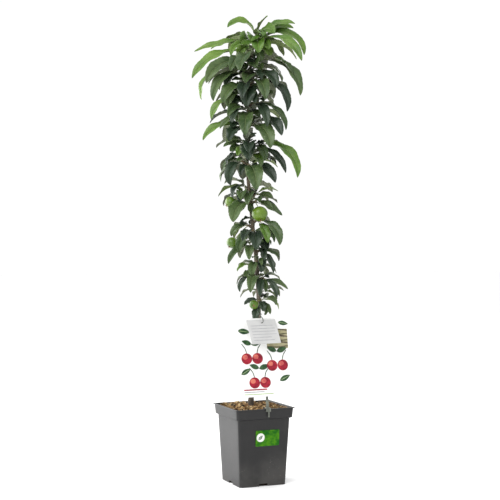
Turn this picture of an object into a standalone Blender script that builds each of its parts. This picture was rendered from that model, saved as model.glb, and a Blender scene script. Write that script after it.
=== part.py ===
# Columnar dwarf apple tree in a square plastic pot, with its picture card, clip, hang tag and sticker.
# Metres, +Z up. The origin is the middle of the pot's flat underside, and the sticker's side faces -Y.

import bpy
import bmesh
from math import cos, pi, radians, sin
from random import Random

import numpy as np
from mathutils import Matrix, Vector
from mathutils.bvhtree import BVHTree

# Clearance between pieces that touch
CLEAR = 0.0003

# Pot: half widths of the square at each height, thin wall, rounded upright corners
POT_HEIGHT = 0.207
POT_FOOT_HALF = 0.066
POT_SHOULDER_HALF = 0.075
POT_SHOULDER_Z = 0.178
COLLAR_FOOT_HALF = 0.0805
COLLAR_TOP_HALF = 0.0825
LIP_HALF = 0.085
POT_WALL = 0.0022
POT_CORNER = 0.007
CORNER_STEPS = 3
NOTCH_WIDTH = 0.025
NOTCH_DEPTH = 0.009
NOTCH_HEIGHT = 0.007

# Potting mix and its bark mulch
SOIL_EDGE_Z = 0.1945
SOIL_MIDDLE_Z = 0.1985
MOUND = ((0.80, 0.55), (0.55, 0.90), (0.50, 1.0))
MULCH_CHIPS = 30
CHIP_LENGTH = (0.012, 0.024)
CHIP_SHAPE = (0.35, 0.60)
CHIP_THICK = (0.004, 0.007)
CHIP_SUNK = (0.0005, 0.0020)
CHIP_TILT = 0.35
CHIP_INSET = 0.0165
CHIP_SEED = 11
TRUNK_CIRCLE = 0.022
CLIP_PATCH = (0.018, -0.045)

# Trunk: height of each station, how far it sways to the picture's right, and its radius there
PLANT_TURN = -23.45
SWAY = ((0.190, -0.0100), (0.450, 0.0145), (0.600, 0.0075), (0.720, -0.0050),
        (0.860, -0.0165), (1.000, -0.0140), (1.100, -0.0085), (1.160, -0.0030))
THICKNESS = ((0.190, 0.0100), (0.210, 0.0078), (0.250, 0.0070), (0.450, 0.0058),
             (0.800, 0.0046), (1.100, 0.0034), (1.160, 0.0028))
DEPTH_SWAY = 0.005
DEPTH_WAVE = 0.55
TRUNK_TOP_Z = 1.160
TRUNK_STATIONS = 26
STATION_CROWDING = 1.25
TRUNK_PLINTH = 0.004

# Leaves: share of the length that is stalk, stations along the leaf, thickness as a share of length,
# fold of the blade, and how it rolls about its midrib
STALK_SHARE = 0.20
LEAF_STATIONS = (0.0, STALK_SHARE, 0.34, 0.54, 0.78, 1.0)
SPINE_STEPS = 24
DROOP_POWER = 1.3
BLADE_POWER = 0.8
STALK_RADIUS = 0.0010
BLADE_THICKNESS = 0.014
BLADE_THICKNESS_LEAST = 0.0012
BLADE_FOLD = 18.0
ROLL_RANGE = 22.0
FRONT_ROLL = 62.0
FRONT_ROLL_RANGE = 12.0
LEAF_GAP = 0.0012
SPUR_RADIUS = (0.0034, 0.0026)
TIP_RADIUS = (0.0026, 0.0018)
STEM_ROOM = (0.0042, 0.0034)
GROWTH_SEED = 6

# A leaf with no room is tried again, ever further from its turn, up to one of these spreads in degrees
TRIES = 18
RISE_SPREAD_SHARE = 0.5
HAND_SPREAD = 26.0
RULE_SPREAD = 30.0
TIP_SPREAD = 45.0

# Leaves that grow by rule: where on the spur, the fan of turns, length against height, and ranges for
# the length, rise and droop
LEAF_START = 0.86
FAN = 48.0
FAN_RANGE = 10.0
SIDE_TURNS = (30.0, 150.0)
FRONT_TURN = 270.0
FRONT_SPREAD = 50.0
LENGTH_BY_HEIGHT = ((0.45, 0.062), (0.70, 0.078), (0.95, 0.105), (1.15, 0.128))
LENGTH_RANGE = (0.75, 1.08)
RISE_RANGE = (5.0, 45.0)
DROOP_RANGE = (70.0, 115.0)
WIDTH_SHARE = 0.36

# Short spurs up the trunk: height, turn, rise, reach, and the leaves that show from the front as
# (turn, rise, length, droop, width). A turn of 0 points right and 270 to the front. Millimetres, degrees.
SPURS = {
    "spur_01": (483, 300, 35, 8, 3, (
        (330, -20, 50, 70, 14), (240, -48, 62, 40, 24), (190, 10, 48, 70, 18), (275, 0, 42, 100, 22))),
    "spur_02": (505, 60, 30, 10, 5, ()),
    "spur_03": (543, 330, 30, 11, 1, (
        (0, -5, 78, 40, 20), (265, 0, 80, 95, 22), (300, -20, 48, 95, 16),
        (345, -20, 72, 55, 16), (315, -5, 84, 85, 20))),
    "spur_04": (549, 230, 35, 13, 2, ((225, 60, 42, 165, 14), (190, -5, 68, 100, 18), (260, 5, 85, 95, 28))),
    "spur_05": (572, 100, 30, 10, 5, ()),
    "spur_06": (589, 280, 30, 9, 1, ((290, 45, 48, 145, 14), (260, -10, 58, 115, 26))),
    "spur_07": (618, 340, 30, 12, 1, ((0, 0, 58, 45, 16), (315, -20, 84, 70, 18))),
    "spur_08": (629, 200, 35, 12, 2, ((210, 0, 92, 80, 22), (265, 10, 75, 105, 26))),
    "spur_09": (645, 75, 30, 10, 6, ()),
    "spur_10": (667, 255, 40, 12, 1, ((220, -10, 82, 95, 28), (280, 0, 85, 95, 38))),
    "spur_11": (697, 330, 35, 13, 2, ((330, 0, 112, 100, 30), (300, -30, 80, 60, 26), (345, -20, 82, 70, 18))),
    "spur_12": (684, 175, 35, 12, 2, ((195, 0, 62, 95, 22),)),
    "spur_13": (748, 320, 30, 14, 1, ((350, 5, 60, 55, 20), (10, 0, 60, 15, 18), (335, -20, 86, 25, 28))),
    "spur_14": (750, 240, 30, 10, 1, ((215, 5, 66, 75, 30), (235, 0, 100, 90, 44), (195, -20, 72, 50, 26))),
    "spur_15": (765, 185, 25, 17, 1, ((190, 70, 32, 50, 16), (250, 20, 50, 110, 26))),
    "spur_16": (766, 20, 35, 13, 2, ((345, 10, 54, 40, 26),)),
    "spur_17": (789, 110, 30, 11, 6, ()),
    "spur_18": (848, 285, 30, 10, 1, ((240, 10, 58, 105, 20), (285, 0, 120, 95, 50), (320, 10, 112, 80, 34))),
    "spur_19": (857, 200, 35, 12, 2, ((165, 30, 68, 105, 24), (225, 0, 100, 125, 30))),
    "spur_20": (876, 80, 30, 11, 6, ()),
    "spur_21": (900, 345, 30, 13, 2, ((345, 15, 185, 115, 34), (330, 0, 132, 75, 24), (315, 10, 78, 120, 28))),
    "spur_22": (905, 262, 30, 9, 1, ((190, 25, 68, 70, 20), (275, 5, 90, 95, 44), (220, -15, 48, 70, 22))),
    "spur_23": (948, 190, 35, 11, 2, ((180, 25, 130, 95, 28), (235, 10, 88, 95, 34))),
    "spur_24": (954, 310, 35, 12, 1, ((325, 25, 128, 110, 40), (305, 5, 130, 95, 46))),
    "spur_25": (984, 90, 30, 11, 6, ()),
    "spur_26": (994, 262, 30, 9, 1, ((220, 35, 100, 115, 26), (190, -10, 92, 50, 24), (265, -5, 115, 90, 42))),
    "spur_27": (1014, 330, 35, 12, 2, ((300, 0, 120, 95, 30), (330, 0, 138, 95, 24))),
    "spur_28": (1033, 190, 35, 12, 2, ((215, 30, 82, 150, 30), (180, 5, 122, 90, 30))),
    "spur_29": (1060, 268, 30, 9, 1, ((265, 0, 105, 95, 50), (240, 0, 118, 95, 42))),
    "spur_30": (1076, 340, 30, 12, 2, ((325, 45, 104, 150, 34), (340, 5, 152, 110, 32), (290, 5, 125, 90, 38))),
    "spur_31": (1098, 170, 30, 12, 3, ((165, 30, 185, 135, 34), (215, 5, 154, 100, 34))),
    "spur_32": (1109, 80, 30, 11, 6, ()),
    "spur_33": (1125, 235, 40, 10, 1, ((205, 10, 155, 85, 42), (240, 20, 118, 95, 34))),
    "spur_34": (1133, 5, 35, 9, 3, ((345, 5, 185, 100, 36),)),
}

# The tip of the leading shoot: rise, turn and reach of its stem, then the same kind of rows with the
# share of the stem at which each leaf starts
TIP_RISE = 76.0
TIP_TURN = 0.0
TIP_REACH = 0.042
TIP_RULE_LEAVES = 9
TIP_LEAF_HEIGHT = 1.15
TIP_FIRST_TURN = 25.0
TIP_FIRST_SHARE = 0.9
TIP_SHARE_RANGE = 0.8
TIP_FRONT_LIMIT = -0.35
SPIRAL_STEP = 137.5
TIP_LEAVES = (
    (0.95, 185, 80, 108, 140, 30), (0.98, 325, 78, 70, 55, 26), (0.70, 350, 55, 128, 75, 30),
    (0.50, 15, 60, 132, 85, 28), (0.30, 5, 55, 188, 145, 36), (0.80, 320, 10, 190, 80, 34),
    (0.85, 180, 0, 170, 25, 26), (0.25, 155, 30, 136, 60, 26), (0.10, 190, 5, 195, 70, 38),
    (0.35, 220, 25, 102, 110, 22))

# Fruit: the spur that bears it, turn and distance from the trunk, height, diameter, and the way its eye faces
FRUIT = (
    ("spur_15", 190, 0.053, 0.755, 0.033, 205, -35),
    ("spur_13", 305, 0.039, 0.723, 0.043, 285, -60),
    ("spur_12", 190, 0.061, 0.646, 0.031, 215, -50),
    ("spur_01", 245, 0.031, 0.480, 0.025, 268, -10))
FRUIT_SIDES = 12
FRUIT_RINGS = 9
FRUIT_FLATTEN = 0.94
DIMPLE_FROM = 0.90
STALK_DIMPLE = 0.22
EYE_DIMPLE = 0.10
FRUIT_STALK_RADII = (0.0012, 0.0010)
FRUIT_STALK_OVERLAP = 0.002
FRUIT_STALK_END = 0.30

# Card on its clip near the middle of the -Y rim: leans back from the rim
LEAN = 10.0
CLIP_X = 0.0055
CARD_SHIFT = 0.0025
STEM_FOOT = (CLIP_X, -0.0815, 0.2125)
STEM_WIDTH = 0.008
STEM_THICK = 0.0016
STEM_LENGTH = 0.120
PRONG_LENGTH = 0.022
PRONG_SHARE = 0.55
PRONG_X = 0.0015
SADDLE_SHARE = 1.8
STEM_ROOT = 0.004
CLIP_LEG = 0.010
CARD_WIDTH = 0.155
CARD_HEIGHT = 0.208
CARD_THICK = 0.0008
CARD_FOOT_Z = 0.239
CARD_CORNER = 0.003

# Hang tag in front of the card's top, and the tie that holds it to the trunk
TAG_WIDTH = 0.092
TAG_HEIGHT = 0.068
TAG_THICK = 0.0008
TAG_CENTRE = (-0.002, -0.0728, 0.4104)
TAG_TURN = 10.0
TAG_LEAN = 25.0
TAG_CORNER = 0.002
TAG_HOLE_DOWN = 0.009
TAG_HOLE_SIDES = 12
TIE_RADIUS = 0.0012
TIE_Z = 0.4530
RING_TURNS = 14
RING_SIDES = 6
TAIL_POINTS = 19
KNOT_RADIUS = 0.0026
KNOT_BEHIND = 0.0038

# Sticker on the -Y wall
STICKER_WIDTH = 0.068
STICKER_HEIGHT = 0.042
STICKER_THICK = 0.0005
STICKER_CORNER = 0.003
STICKER_X = 0.009
STICKER_Z = 0.1285

MILLI = 0.001
MERGE = 0.000001

# Ways to join the bodies of a mass, tried in turn until the result is closed: solver, then how its
# many-sided faces are split
JOIN_WAYS = (("EXACT", "BEAUTY"), ("MANIFOLD", "BEAUTY"),
             ("MANIFOLD", "ALTERNATE"), ("MANIFOLD", "LONG_EDGE"))


def clear_scene():
    for thing in list(bpy.data.objects):
        bpy.data.objects.remove(thing, do_unlink=True)


def new_collection(name):
    made = bpy.data.collections.new(name)
    bpy.context.scene.collection.children.link(made)
    return made


def material(name, colour, roughness, metallic=0.0):
    made = bpy.data.materials.new(name)
    made.use_nodes = True
    shader = made.node_tree.nodes["Principled BSDF"]
    shader.inputs["Base Color"].default_value = (*colour, 1.0)
    shader.inputs["Roughness"].default_value = roughness
    shader.inputs["Metallic"].default_value = metallic
    return made


def object_from(bm, name, collection, finish=None):
    """A mesh object from a closed bmesh, its faces turned outwards."""
    if bm.calc_volume(signed=True) < 0:
        bmesh.ops.reverse_faces(bm, faces=bm.faces)
    mesh = bpy.data.meshes.new(name)
    bm.to_mesh(mesh)
    bm.free()
    made = bpy.data.objects.new(name, mesh)
    collection.objects.link(made)
    if finish:
        mesh.materials.append(finish)
    return made


def box(name, size, place, collection, finish=None):
    bm = bmesh.new()
    bmesh.ops.create_cube(bm, size=1.0)
    bmesh.ops.scale(bm, vec=Vector(size), verts=bm.verts)
    bm.transform(place)
    return object_from(bm, name, collection, finish)


def plate(name, size, place, corner, collection, finish):
    """A thin sheet across X and Z with rounded corners."""
    bm = bmesh.new()
    bmesh.ops.create_cube(bm, size=1.0)
    bmesh.ops.scale(bm, vec=Vector(size), verts=bm.verts)
    edges = [e for e in bm.edges if abs(e.verts[0].co.y - e.verts[1].co.y) > size[1] / 2]
    bmesh.ops.bevel(bm, geom=edges, offset=corner, segments=CORNER_STEPS, profile=0.5, affect="EDGES")
    bm.transform(place)
    return object_from(bm, name, collection, finish)


def as_mesh(thing, collection):
    """The evaluated object as a plain mesh object, with doubled points merged."""
    graph = bpy.context.evaluated_depsgraph_get()
    mesh = bpy.data.meshes.new_from_object(thing.evaluated_get(graph))
    bm = bmesh.new()
    bm.from_mesh(mesh)
    bmesh.ops.remove_doubles(bm, verts=bm.verts, dist=MERGE)
    bm.to_mesh(mesh)
    bm.free()
    made = bpy.data.objects.new(thing.name + "_mesh", mesh)
    made.matrix_world = thing.matrix_world
    collection.objects.link(made)
    bpy.data.objects.remove(thing, do_unlink=True)
    return made


def cut(thing, cutter):
    step = thing.modifiers.new("cut", "BOOLEAN")
    step.operation = "DIFFERENCE"
    step.object = cutter
    return step


def tube(name, points, radii, collection, smooth):
    """A tapering tube with filled ends along a run of points."""
    curve = bpy.data.curves.new(name, "CURVE")
    curve.dimensions = "3D"
    curve.bevel_depth = 1.0
    curve.bevel_resolution = smooth
    curve.use_fill_caps = True
    line = curve.splines.new("POLY")
    line.points.add(len(points) - 1)
    for spot, place, radius in zip(line.points, points, radii):
        spot.co = (*place, 1.0)
        spot.radius = radius
    made = bpy.data.objects.new(name, curve)
    collection.objects.link(made)
    return made


def rounded_square(half, corner, height):
    """Points of a square with round corners, anticlockwise from above."""
    points = []
    for quarter in range(4):
        turn = Matrix.Rotation(quarter * pi / 2, 4, "Z")
        for step in range(CORNER_STEPS + 1):
            angle = step / CORNER_STEPS * pi / 2
            spot = Vector((half - corner + corner * cos(angle), half - corner + corner * sin(angle), height))
            points.append(turn @ spot)
    return points


def square_stack(levels, corner):
    """A stack of rounded squares, each joined to the last, closed at the foot and open at the top."""
    bm = bmesh.new()
    rings = [[bm.verts.new(p) for p in rounded_square(half, corner, height)] for half, height in levels]
    bm.faces.new(reversed(rings[0]))
    for low, high in zip(rings, rings[1:]):
        for k in range(len(low)):
            after = (k + 1) % len(low)
            bm.faces.new((low[k], low[after], high[after], high[k]))
    return bm


def make_pot(parts, cutters, finish):
    top = POT_HEIGHT - POT_WALL
    bm = square_stack(((POT_FOOT_HALF, 0.0), (POT_SHOULDER_HALF, POT_SHOULDER_Z),
                       (COLLAR_FOOT_HALF, POT_SHOULDER_Z + POT_WALL), (COLLAR_TOP_HALF, top),
                       (LIP_HALF, top)), POT_CORNER)
    pot = object_from(bm, "pot", parts, finish)
    if min(pot.data.polygons, key=lambda face: face.center.z).normal.z > 0:
        pot.data.flip_normals()
    shell = pot.modifiers.new("wall", "SOLIDIFY")
    shell.thickness = POT_WALL
    shell.offset = -1.0
    shell.use_even_offset = True
    for quarter in range(4):
        place = Matrix.Rotation(quarter * pi / 2, 4, "Z") @ Matrix.Translation((0, -POT_FOOT_HALF, 0))
        size = (NOTCH_WIDTH, 2 * NOTCH_DEPTH, 2 * NOTCH_HEIGHT)
        cut(pot, box(f"notch_{quarter + 1}", size, place, cutters))
    return pot


def wall_inside(height):
    """Half width of the pot's inner face at a height."""
    if height < POT_SHOULDER_Z + 2 * POT_WALL:
        rate = (POT_SHOULDER_HALF - POT_FOOT_HALF) / POT_SHOULDER_Z
        return POT_FOOT_HALF + rate * height - POT_WALL
    return COLLAR_FOOT_HALF - POT_WALL


def make_soil(parts, loose, finish):
    gap = CLEAR * 1.5
    low = POT_WALL + gap
    ledge = POT_SHOULDER_Z + 2 * POT_WALL + gap
    bm = square_stack(((wall_inside(low) - gap, low), (wall_inside(POT_SHOULDER_Z) - gap, ledge),
                       (wall_inside(ledge) - gap, ledge), (wall_inside(ledge) - gap, SOIL_EDGE_Z)),
                      POT_CORNER - POT_WALL)
    climb = SOIL_MIDDLE_Z - SOIL_EDGE_Z
    for shrink, rise in MOUND:
        rim = [e for e in bm.edges if e.is_boundary]
        grown = bmesh.ops.extrude_edge_only(bm, edges=rim)["geom"]
        for spot in [g for g in grown if isinstance(g, bmesh.types.BMVert)]:
            spot.co = Vector((spot.co.x * shrink, spot.co.y * shrink, SOIL_EDGE_Z + rise * climb))
    bmesh.ops.contextual_create(bm, geom=[e for e in bm.edges if e.is_boundary])
    bmesh.ops.triangulate(bm, faces=bm.faces)
    soil = object_from(bm, "bark_mulch", parts, finish)
    chips = bpy.data.collections.new("chips")
    loose.children.link(chips)
    dice = Random(CHIP_SEED)
    reach = wall_inside(ledge) - CHIP_INSET
    for number in range(MULCH_CHIPS):
        spot = Vector((dice.uniform(-reach, reach), dice.uniform(-reach, reach), 0))
        if spot.length < TRUNK_CIRCLE or (abs(spot.x) < CLIP_PATCH[0] and spot.y < CLIP_PATCH[1]):
            continue
        edge = max(abs(spot.x), abs(spot.y)) / reach
        spot.z = SOIL_MIDDLE_Z - climb * edge ** 2 + dice.uniform(*CHIP_SUNK)
        length = dice.uniform(*CHIP_LENGTH)
        size = (length, length * dice.uniform(*CHIP_SHAPE), dice.uniform(*CHIP_THICK))
        turn = Matrix.Rotation(dice.uniform(0, 2 * pi), 4, "Z")
        tilt = Matrix.Rotation(dice.uniform(-CHIP_TILT, CHIP_TILT), 4, "X")
        tilt = tilt @ Matrix.Rotation(dice.uniform(-CHIP_TILT, CHIP_TILT), 4, "Y")
        box(f"chip_{number}", size, Matrix.Translation(spot) @ turn @ tilt, chips)
    return join_all(soil, chips)


def join_all(first, others, cutter=None):
    """Boolean union of an object with a collection, less a cutter. The collection is then emptied."""
    finish = first.data.materials[0]
    for solver, split in JOIN_WAYS:
        union = first.modifiers.new("union", "BOOLEAN")
        union.operation = "UNION"
        union.operand_type = "COLLECTION"
        union.collection = others
        union.solver = solver
        if cutter:
            cut(first, cutter).solver = solver
        graph = bpy.context.evaluated_depsgraph_get()
        mesh = bpy.data.meshes.new_from_object(first.evaluated_get(graph))
        first.modifiers.clear()
        if keep_outer_body(mesh, split):
            break
    else:
        print(first.name, "is not closed")
    first.data = mesh
    mesh.materials.clear()
    mesh.materials.append(finish)
    for thing in list(others.objects):
        bpy.data.objects.remove(thing, do_unlink=True)
    return first


def keep_outer_body(mesh, split):
    """Keeps the largest shell of a mesh, so scraps and sealed hollows go. True where it is closed."""
    bm = bmesh.new()
    bm.from_mesh(mesh)
    bmesh.ops.remove_doubles(bm, verts=bm.verts, dist=MERGE)
    bmesh.ops.dissolve_degenerate(bm, edges=bm.edges, dist=MERGE)
    bmesh.ops.triangulate(bm, faces=bm.faces, quad_method=split)
    left = set(bm.faces)
    shells = []
    while left:
        shell = [left.pop()]
        for face in shell:
            for edge in face.edges:
                for other in edge.link_faces:
                    if other in left:
                        left.discard(other)
                        shell.append(other)
        shells.append(shell)
    shells.sort(key=lambda shell: sum(f.calc_center_median().dot(f.normal) * f.calc_area() for f in shell))
    gone = [face for shell in shells[:-1] for face in shell]
    bmesh.ops.delete(bm, geom=gone, context="FACES")
    closed = all(len(edge.link_faces) == 2 for edge in bm.edges)
    bm.to_mesh(mesh)
    bm.free()
    return closed


def by_height(rows, height):
    return float(np.interp(height, [r[0] for r in rows], [r[1] for r in rows]))


def axis_at(height):
    """The trunk's middle at a height: a smooth curve through SWAY, with a slow wave in depth."""
    levels = np.array([row[0] for row in SWAY])
    sways = np.array([row[1] for row in SWAY])
    height = min(max(height, levels[0]), levels[-1])
    k = min(int(np.searchsorted(levels, height, side="right")) - 1, len(levels) - 2)
    span = levels[k + 1] - levels[k]
    t = (height - levels[k]) / span
    slope = np.gradient(sways, levels)
    side = ((2 * t ** 3 - 3 * t ** 2 + 1) * sways[k] + (t ** 3 - 2 * t ** 2 + t) * span * slope[k]
            + (3 * t ** 2 - 2 * t ** 3) * sways[k + 1] + (t ** 3 - t ** 2) * span * slope[k + 1])
    depth = DEPTH_SWAY * sin(2 * pi * (height - levels[0]) / DEPTH_WAVE)
    turn = radians(PLANT_TURN)
    return Vector((side * cos(turn) - depth * sin(turn), side * sin(turn) + depth * cos(turn), height))


def trunk_tube(name, extra, collection):
    """The trunk, grown by extra all over. Its stations crowd towards the foot, which stands square."""
    foot = SOIL_MIDDLE_Z + CLEAR
    rise = TRUNK_TOP_Z - foot
    levels = [foot + rise * (n / (TRUNK_STATIONS - 1)) ** STATION_CROWDING for n in range(TRUNK_STATIONS)]
    levels.insert(1, foot + TRUNK_PLINTH)
    points = [axis_at(z) for z in levels]
    points[0].xy = points[1].xy
    if extra:
        points[0].z -= extra
        points[-1].z += extra
    radii = [by_height(THICKNESS, z) + extra for z in levels]
    return as_mesh(tube(name, points, radii, collection, smooth=2), collection)


def aim(turn, rise):
    """Direction of a turn in the picture's plane and a rise above the horizon."""
    turn = radians(turn + PLANT_TURN)
    rise = radians(rise)
    return Vector((cos(rise) * cos(turn), cos(rise) * sin(turn), sin(rise)))


def leaf_body(root, turn, rise, length, droop, width, roll, swell=0.0):
    """Points and faces of one leaf: a stalk, then a folded blade that thins to sharp edges. The upper and
    lower walls are split along the same diagonals, so they stay apart where the blade twists."""
    steps = SPINE_STEPS
    share = (np.arange(steps) + 0.5) / steps
    lift = radians(rise) - radians(droop) * share ** DROOP_POWER
    heading = radians(turn + PLANT_TURN)
    along = np.stack((np.cos(lift) * cos(heading), np.cos(lift) * sin(heading), np.sin(lift)), 1)
    spine = np.vstack(((0, 0, 0), np.cumsum(along, 0))) * length / steps
    stations = np.array(LEAF_STATIONS)
    blade = np.clip((stations - STALK_SHARE) / (1 - STALK_SHARE), 0, 1)
    outline = np.sin(pi * blade ** BLADE_POWER) ** BLADE_POWER
    half = np.maximum(outline * width / 2, STALK_RADIUS) + swell
    blade_half = max(BLADE_THICKNESS * length, BLADE_THICKNESS_LEAST) / 2
    thick = np.where(blade > 0, blade_half, STALK_RADIUS) + swell
    lifted = np.where(blade > 0, half * np.tan(radians(BLADE_FOLD)), 0)
    places = stations * steps
    middle = np.stack([np.interp(places, np.arange(steps + 1), spine[:, k]) for k in range(3)], 1)
    tangent = np.stack([np.interp(places - 0.5, np.arange(steps), along[:, k]) for k in range(3)], 1)
    tangent /= np.linalg.norm(tangent, axis=1)[:, None]
    side = np.tile((-sin(heading), cos(heading), 0.0), (len(stations), 1))
    face = np.cross(tangent, side)
    twist = radians(roll) * np.sqrt(blade)[:, None]
    side, face = side * np.cos(twist) + face * np.sin(twist), face * np.cos(twist) - side * np.sin(twist)
    left = middle + side * half[:, None] + face * lifted[:, None]
    right = middle - side * half[:, None] + face * lifted[:, None]
    upper = middle + face * thick[:, None]
    lower = middle - face * thick[:, None]
    rings = np.stack((left, upper, right, lower), 1)[:-1]
    points = [Vector(p) + root for ring in rings for p in ring]
    points.append(Vector(middle[-1] + tangent[-1] * swell) + root)
    faces = [(0, 1, 2), (0, 2, 3)]
    for ring in range(len(rings) - 1):
        for k in range(4):
            a, b = 4 * ring + k, 4 * ring + (k + 1) % 4
            if k < 2:
                faces += [(a, a + 4, b), (b, a + 4, b + 4)]
            else:
                faces += [(a, a + 4, b + 4), (a, b + 4, b)]
    last = 4 * (len(rings) - 1)
    faces += [(last + k, len(points) - 1, last + (k + 1) % 4) for k in range(4)]
    return points, faces


def body_object(name, body, collection):
    bm = bmesh.new()
    spots = [bm.verts.new(p) for p in body[0]]
    for face in body[1]:
        bm.faces.new([spots[k] for k in face])
    return object_from(bm, name, collection)


def cone_between(name, start, end, radii, sides, collection):
    run = end - start
    bm = bmesh.new()
    bmesh.ops.create_cone(bm, cap_ends=True, cap_tris=True, segments=sides, radius1=radii[0],
                          radius2=radii[1], depth=run.length)
    bm.transform(Matrix.Translation((start + end) / 2) @ run.to_track_quat("Z", "Y").to_matrix().to_4x4())
    return object_from(bm, name, collection)


def fruit_object(name, centre, diameter, eye, collection):
    """A round fruit with a hollow at its stalk and a shallower one at its eye."""
    bm = bmesh.new()
    bmesh.ops.create_uvsphere(bm, u_segments=FRUIT_SIDES, v_segments=FRUIT_RINGS, radius=diameter / 2)
    for spot in bm.verts:
        height = spot.co.z / (diameter / 2)
        near_stalk = max(0.0, height - DIMPLE_FROM) / (1 - DIMPLE_FROM)
        near_eye = max(0.0, -height - DIMPLE_FROM) / (1 - DIMPLE_FROM)
        spot.co *= 1 - STALK_DIMPLE * near_stalk - EYE_DIMPLE * near_eye
        spot.co.z *= FRUIT_FLATTEN
    bmesh.ops.triangulate(bm, faces=bm.faces)
    bm.transform(Matrix.Translation(centre) @ (-eye).to_track_quat("Z", "Y").to_matrix().to_4x4())
    return object_from(bm, name, collection)


def fruit_stalk(name, stem, centre, eye, diameter, collection):
    foot, end = stem
    start = end - (end - foot).normalized() * FRUIT_STALK_OVERLAP
    inside = centre - eye * diameter * FRUIT_STALK_END
    return cone_between(name, start, inside, FRUIT_STALK_RADII, 4, collection)


def tree_of(body):
    return BVHTree.FromPolygons(body[0], body[1])


def body_of(thing):
    return [v.co.copy() for v in thing.data.vertices], [tuple(p.vertices) for p in thing.data.polygons]


def blade_only(body):
    """The leaf without its stalk, which may run among the stalks beside it."""
    return body[0][4:], [tuple(k - 4 for k in face) for face in body[1] if min(face) >= 4]


class Growth:
    """The room that the plant has taken so far, as search trees of each piece and of its blade."""

    def __init__(self):
        self.dice = Random(GROWTH_SEED)
        self.taken = []
        self.masses = {}

    def claim(self, mass, whole, blade=None):
        self.taken.append((mass, tree_of(whole), tree_of(blade) if blade else None))

    def claim_guide(self, mass, guide, solid=False):
        """Takes the room of an object that was made only to be measured, and removes it."""
        body = body_of(guide)
        self.claim(mass, body, body if solid else None)
        bpy.data.objects.remove(guide, do_unlink=True)

    def is_free(self, mass, probe):
        """True where the leaf meets no other mass, and its blade no blade of its own and no trunk."""
        whole, blade = tree_of(probe), tree_of(blade_only(probe))
        for owner, taken_whole, taken_blade in self.taken:
            if owner == mass:
                if taken_blade and blade.overlap(taken_blade):
                    return False
            elif owner == "trunk":
                if blade.overlap(taken_whole):
                    return False
            elif whole.overlap(taken_whole):
                return False
        return True


def place_leaf(growth, mass, root, row, spread, roll_middle=0.0, roll_range=ROLL_RANGE):
    """Tries the leaf a little turned and lifted until it is free of what grows already. True where it is."""
    turn, rise, length, droop, width = row
    dice = growth.dice
    for number in range(TRIES):
        loosened = spread * number / TRIES
        roll = roll_middle + dice.uniform(-roll_range, roll_range)
        new_turn = turn + dice.uniform(-loosened, loosened)
        new_rise = rise + dice.uniform(-loosened, loosened) * RISE_SPREAD_SHARE
        shape = (root, new_turn, new_rise, length * MILLI, droop, width * MILLI, roll)
        probe = leaf_body(*shape, swell=LEAF_GAP)
        if growth.is_free(mass, probe):
            body = leaf_body(*shape)
            growth.claim(mass, body, blade_only(body))
            growth.masses[mass].append(body)
            return True
    return False


def rule_leaf(growth, height, turn):
    """A leaf row with the length that fits its height, and drawn rise and droop."""
    dice = growth.dice
    length = by_height(LENGTH_BY_HEIGHT, height) * dice.uniform(*LENGTH_RANGE) / MILLI
    return turn, dice.uniform(*RISE_RANGE), length, dice.uniform(*DROOP_RANGE), length * WIDTH_SHARE


def spur_stem(name):
    """A spur's foot on the trunk's axis, and its end past the bark."""
    height, turn, rise, reach, *_ = SPURS[name]
    foot = axis_at(height * MILLI)
    end = foot + aim(turn, rise) * (by_height(THICKNESS, height * MILLI) + reach * MILLI)
    return foot, end


def fruit_place(row):
    _, turn, distance, height, _, eye_turn, eye_rise = row
    centre = axis_at(height)
    centre = Vector((centre.x, centre.y, 0)) + aim(turn, 0) * distance
    centre.z = height
    return centre, aim(eye_turn, eye_rise)


def tip_root(share):
    return axis_at(TRUNK_TOP_Z) + aim(TIP_TURN, TIP_RISE) * (TIP_REACH * share + CLEAR)


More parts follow.
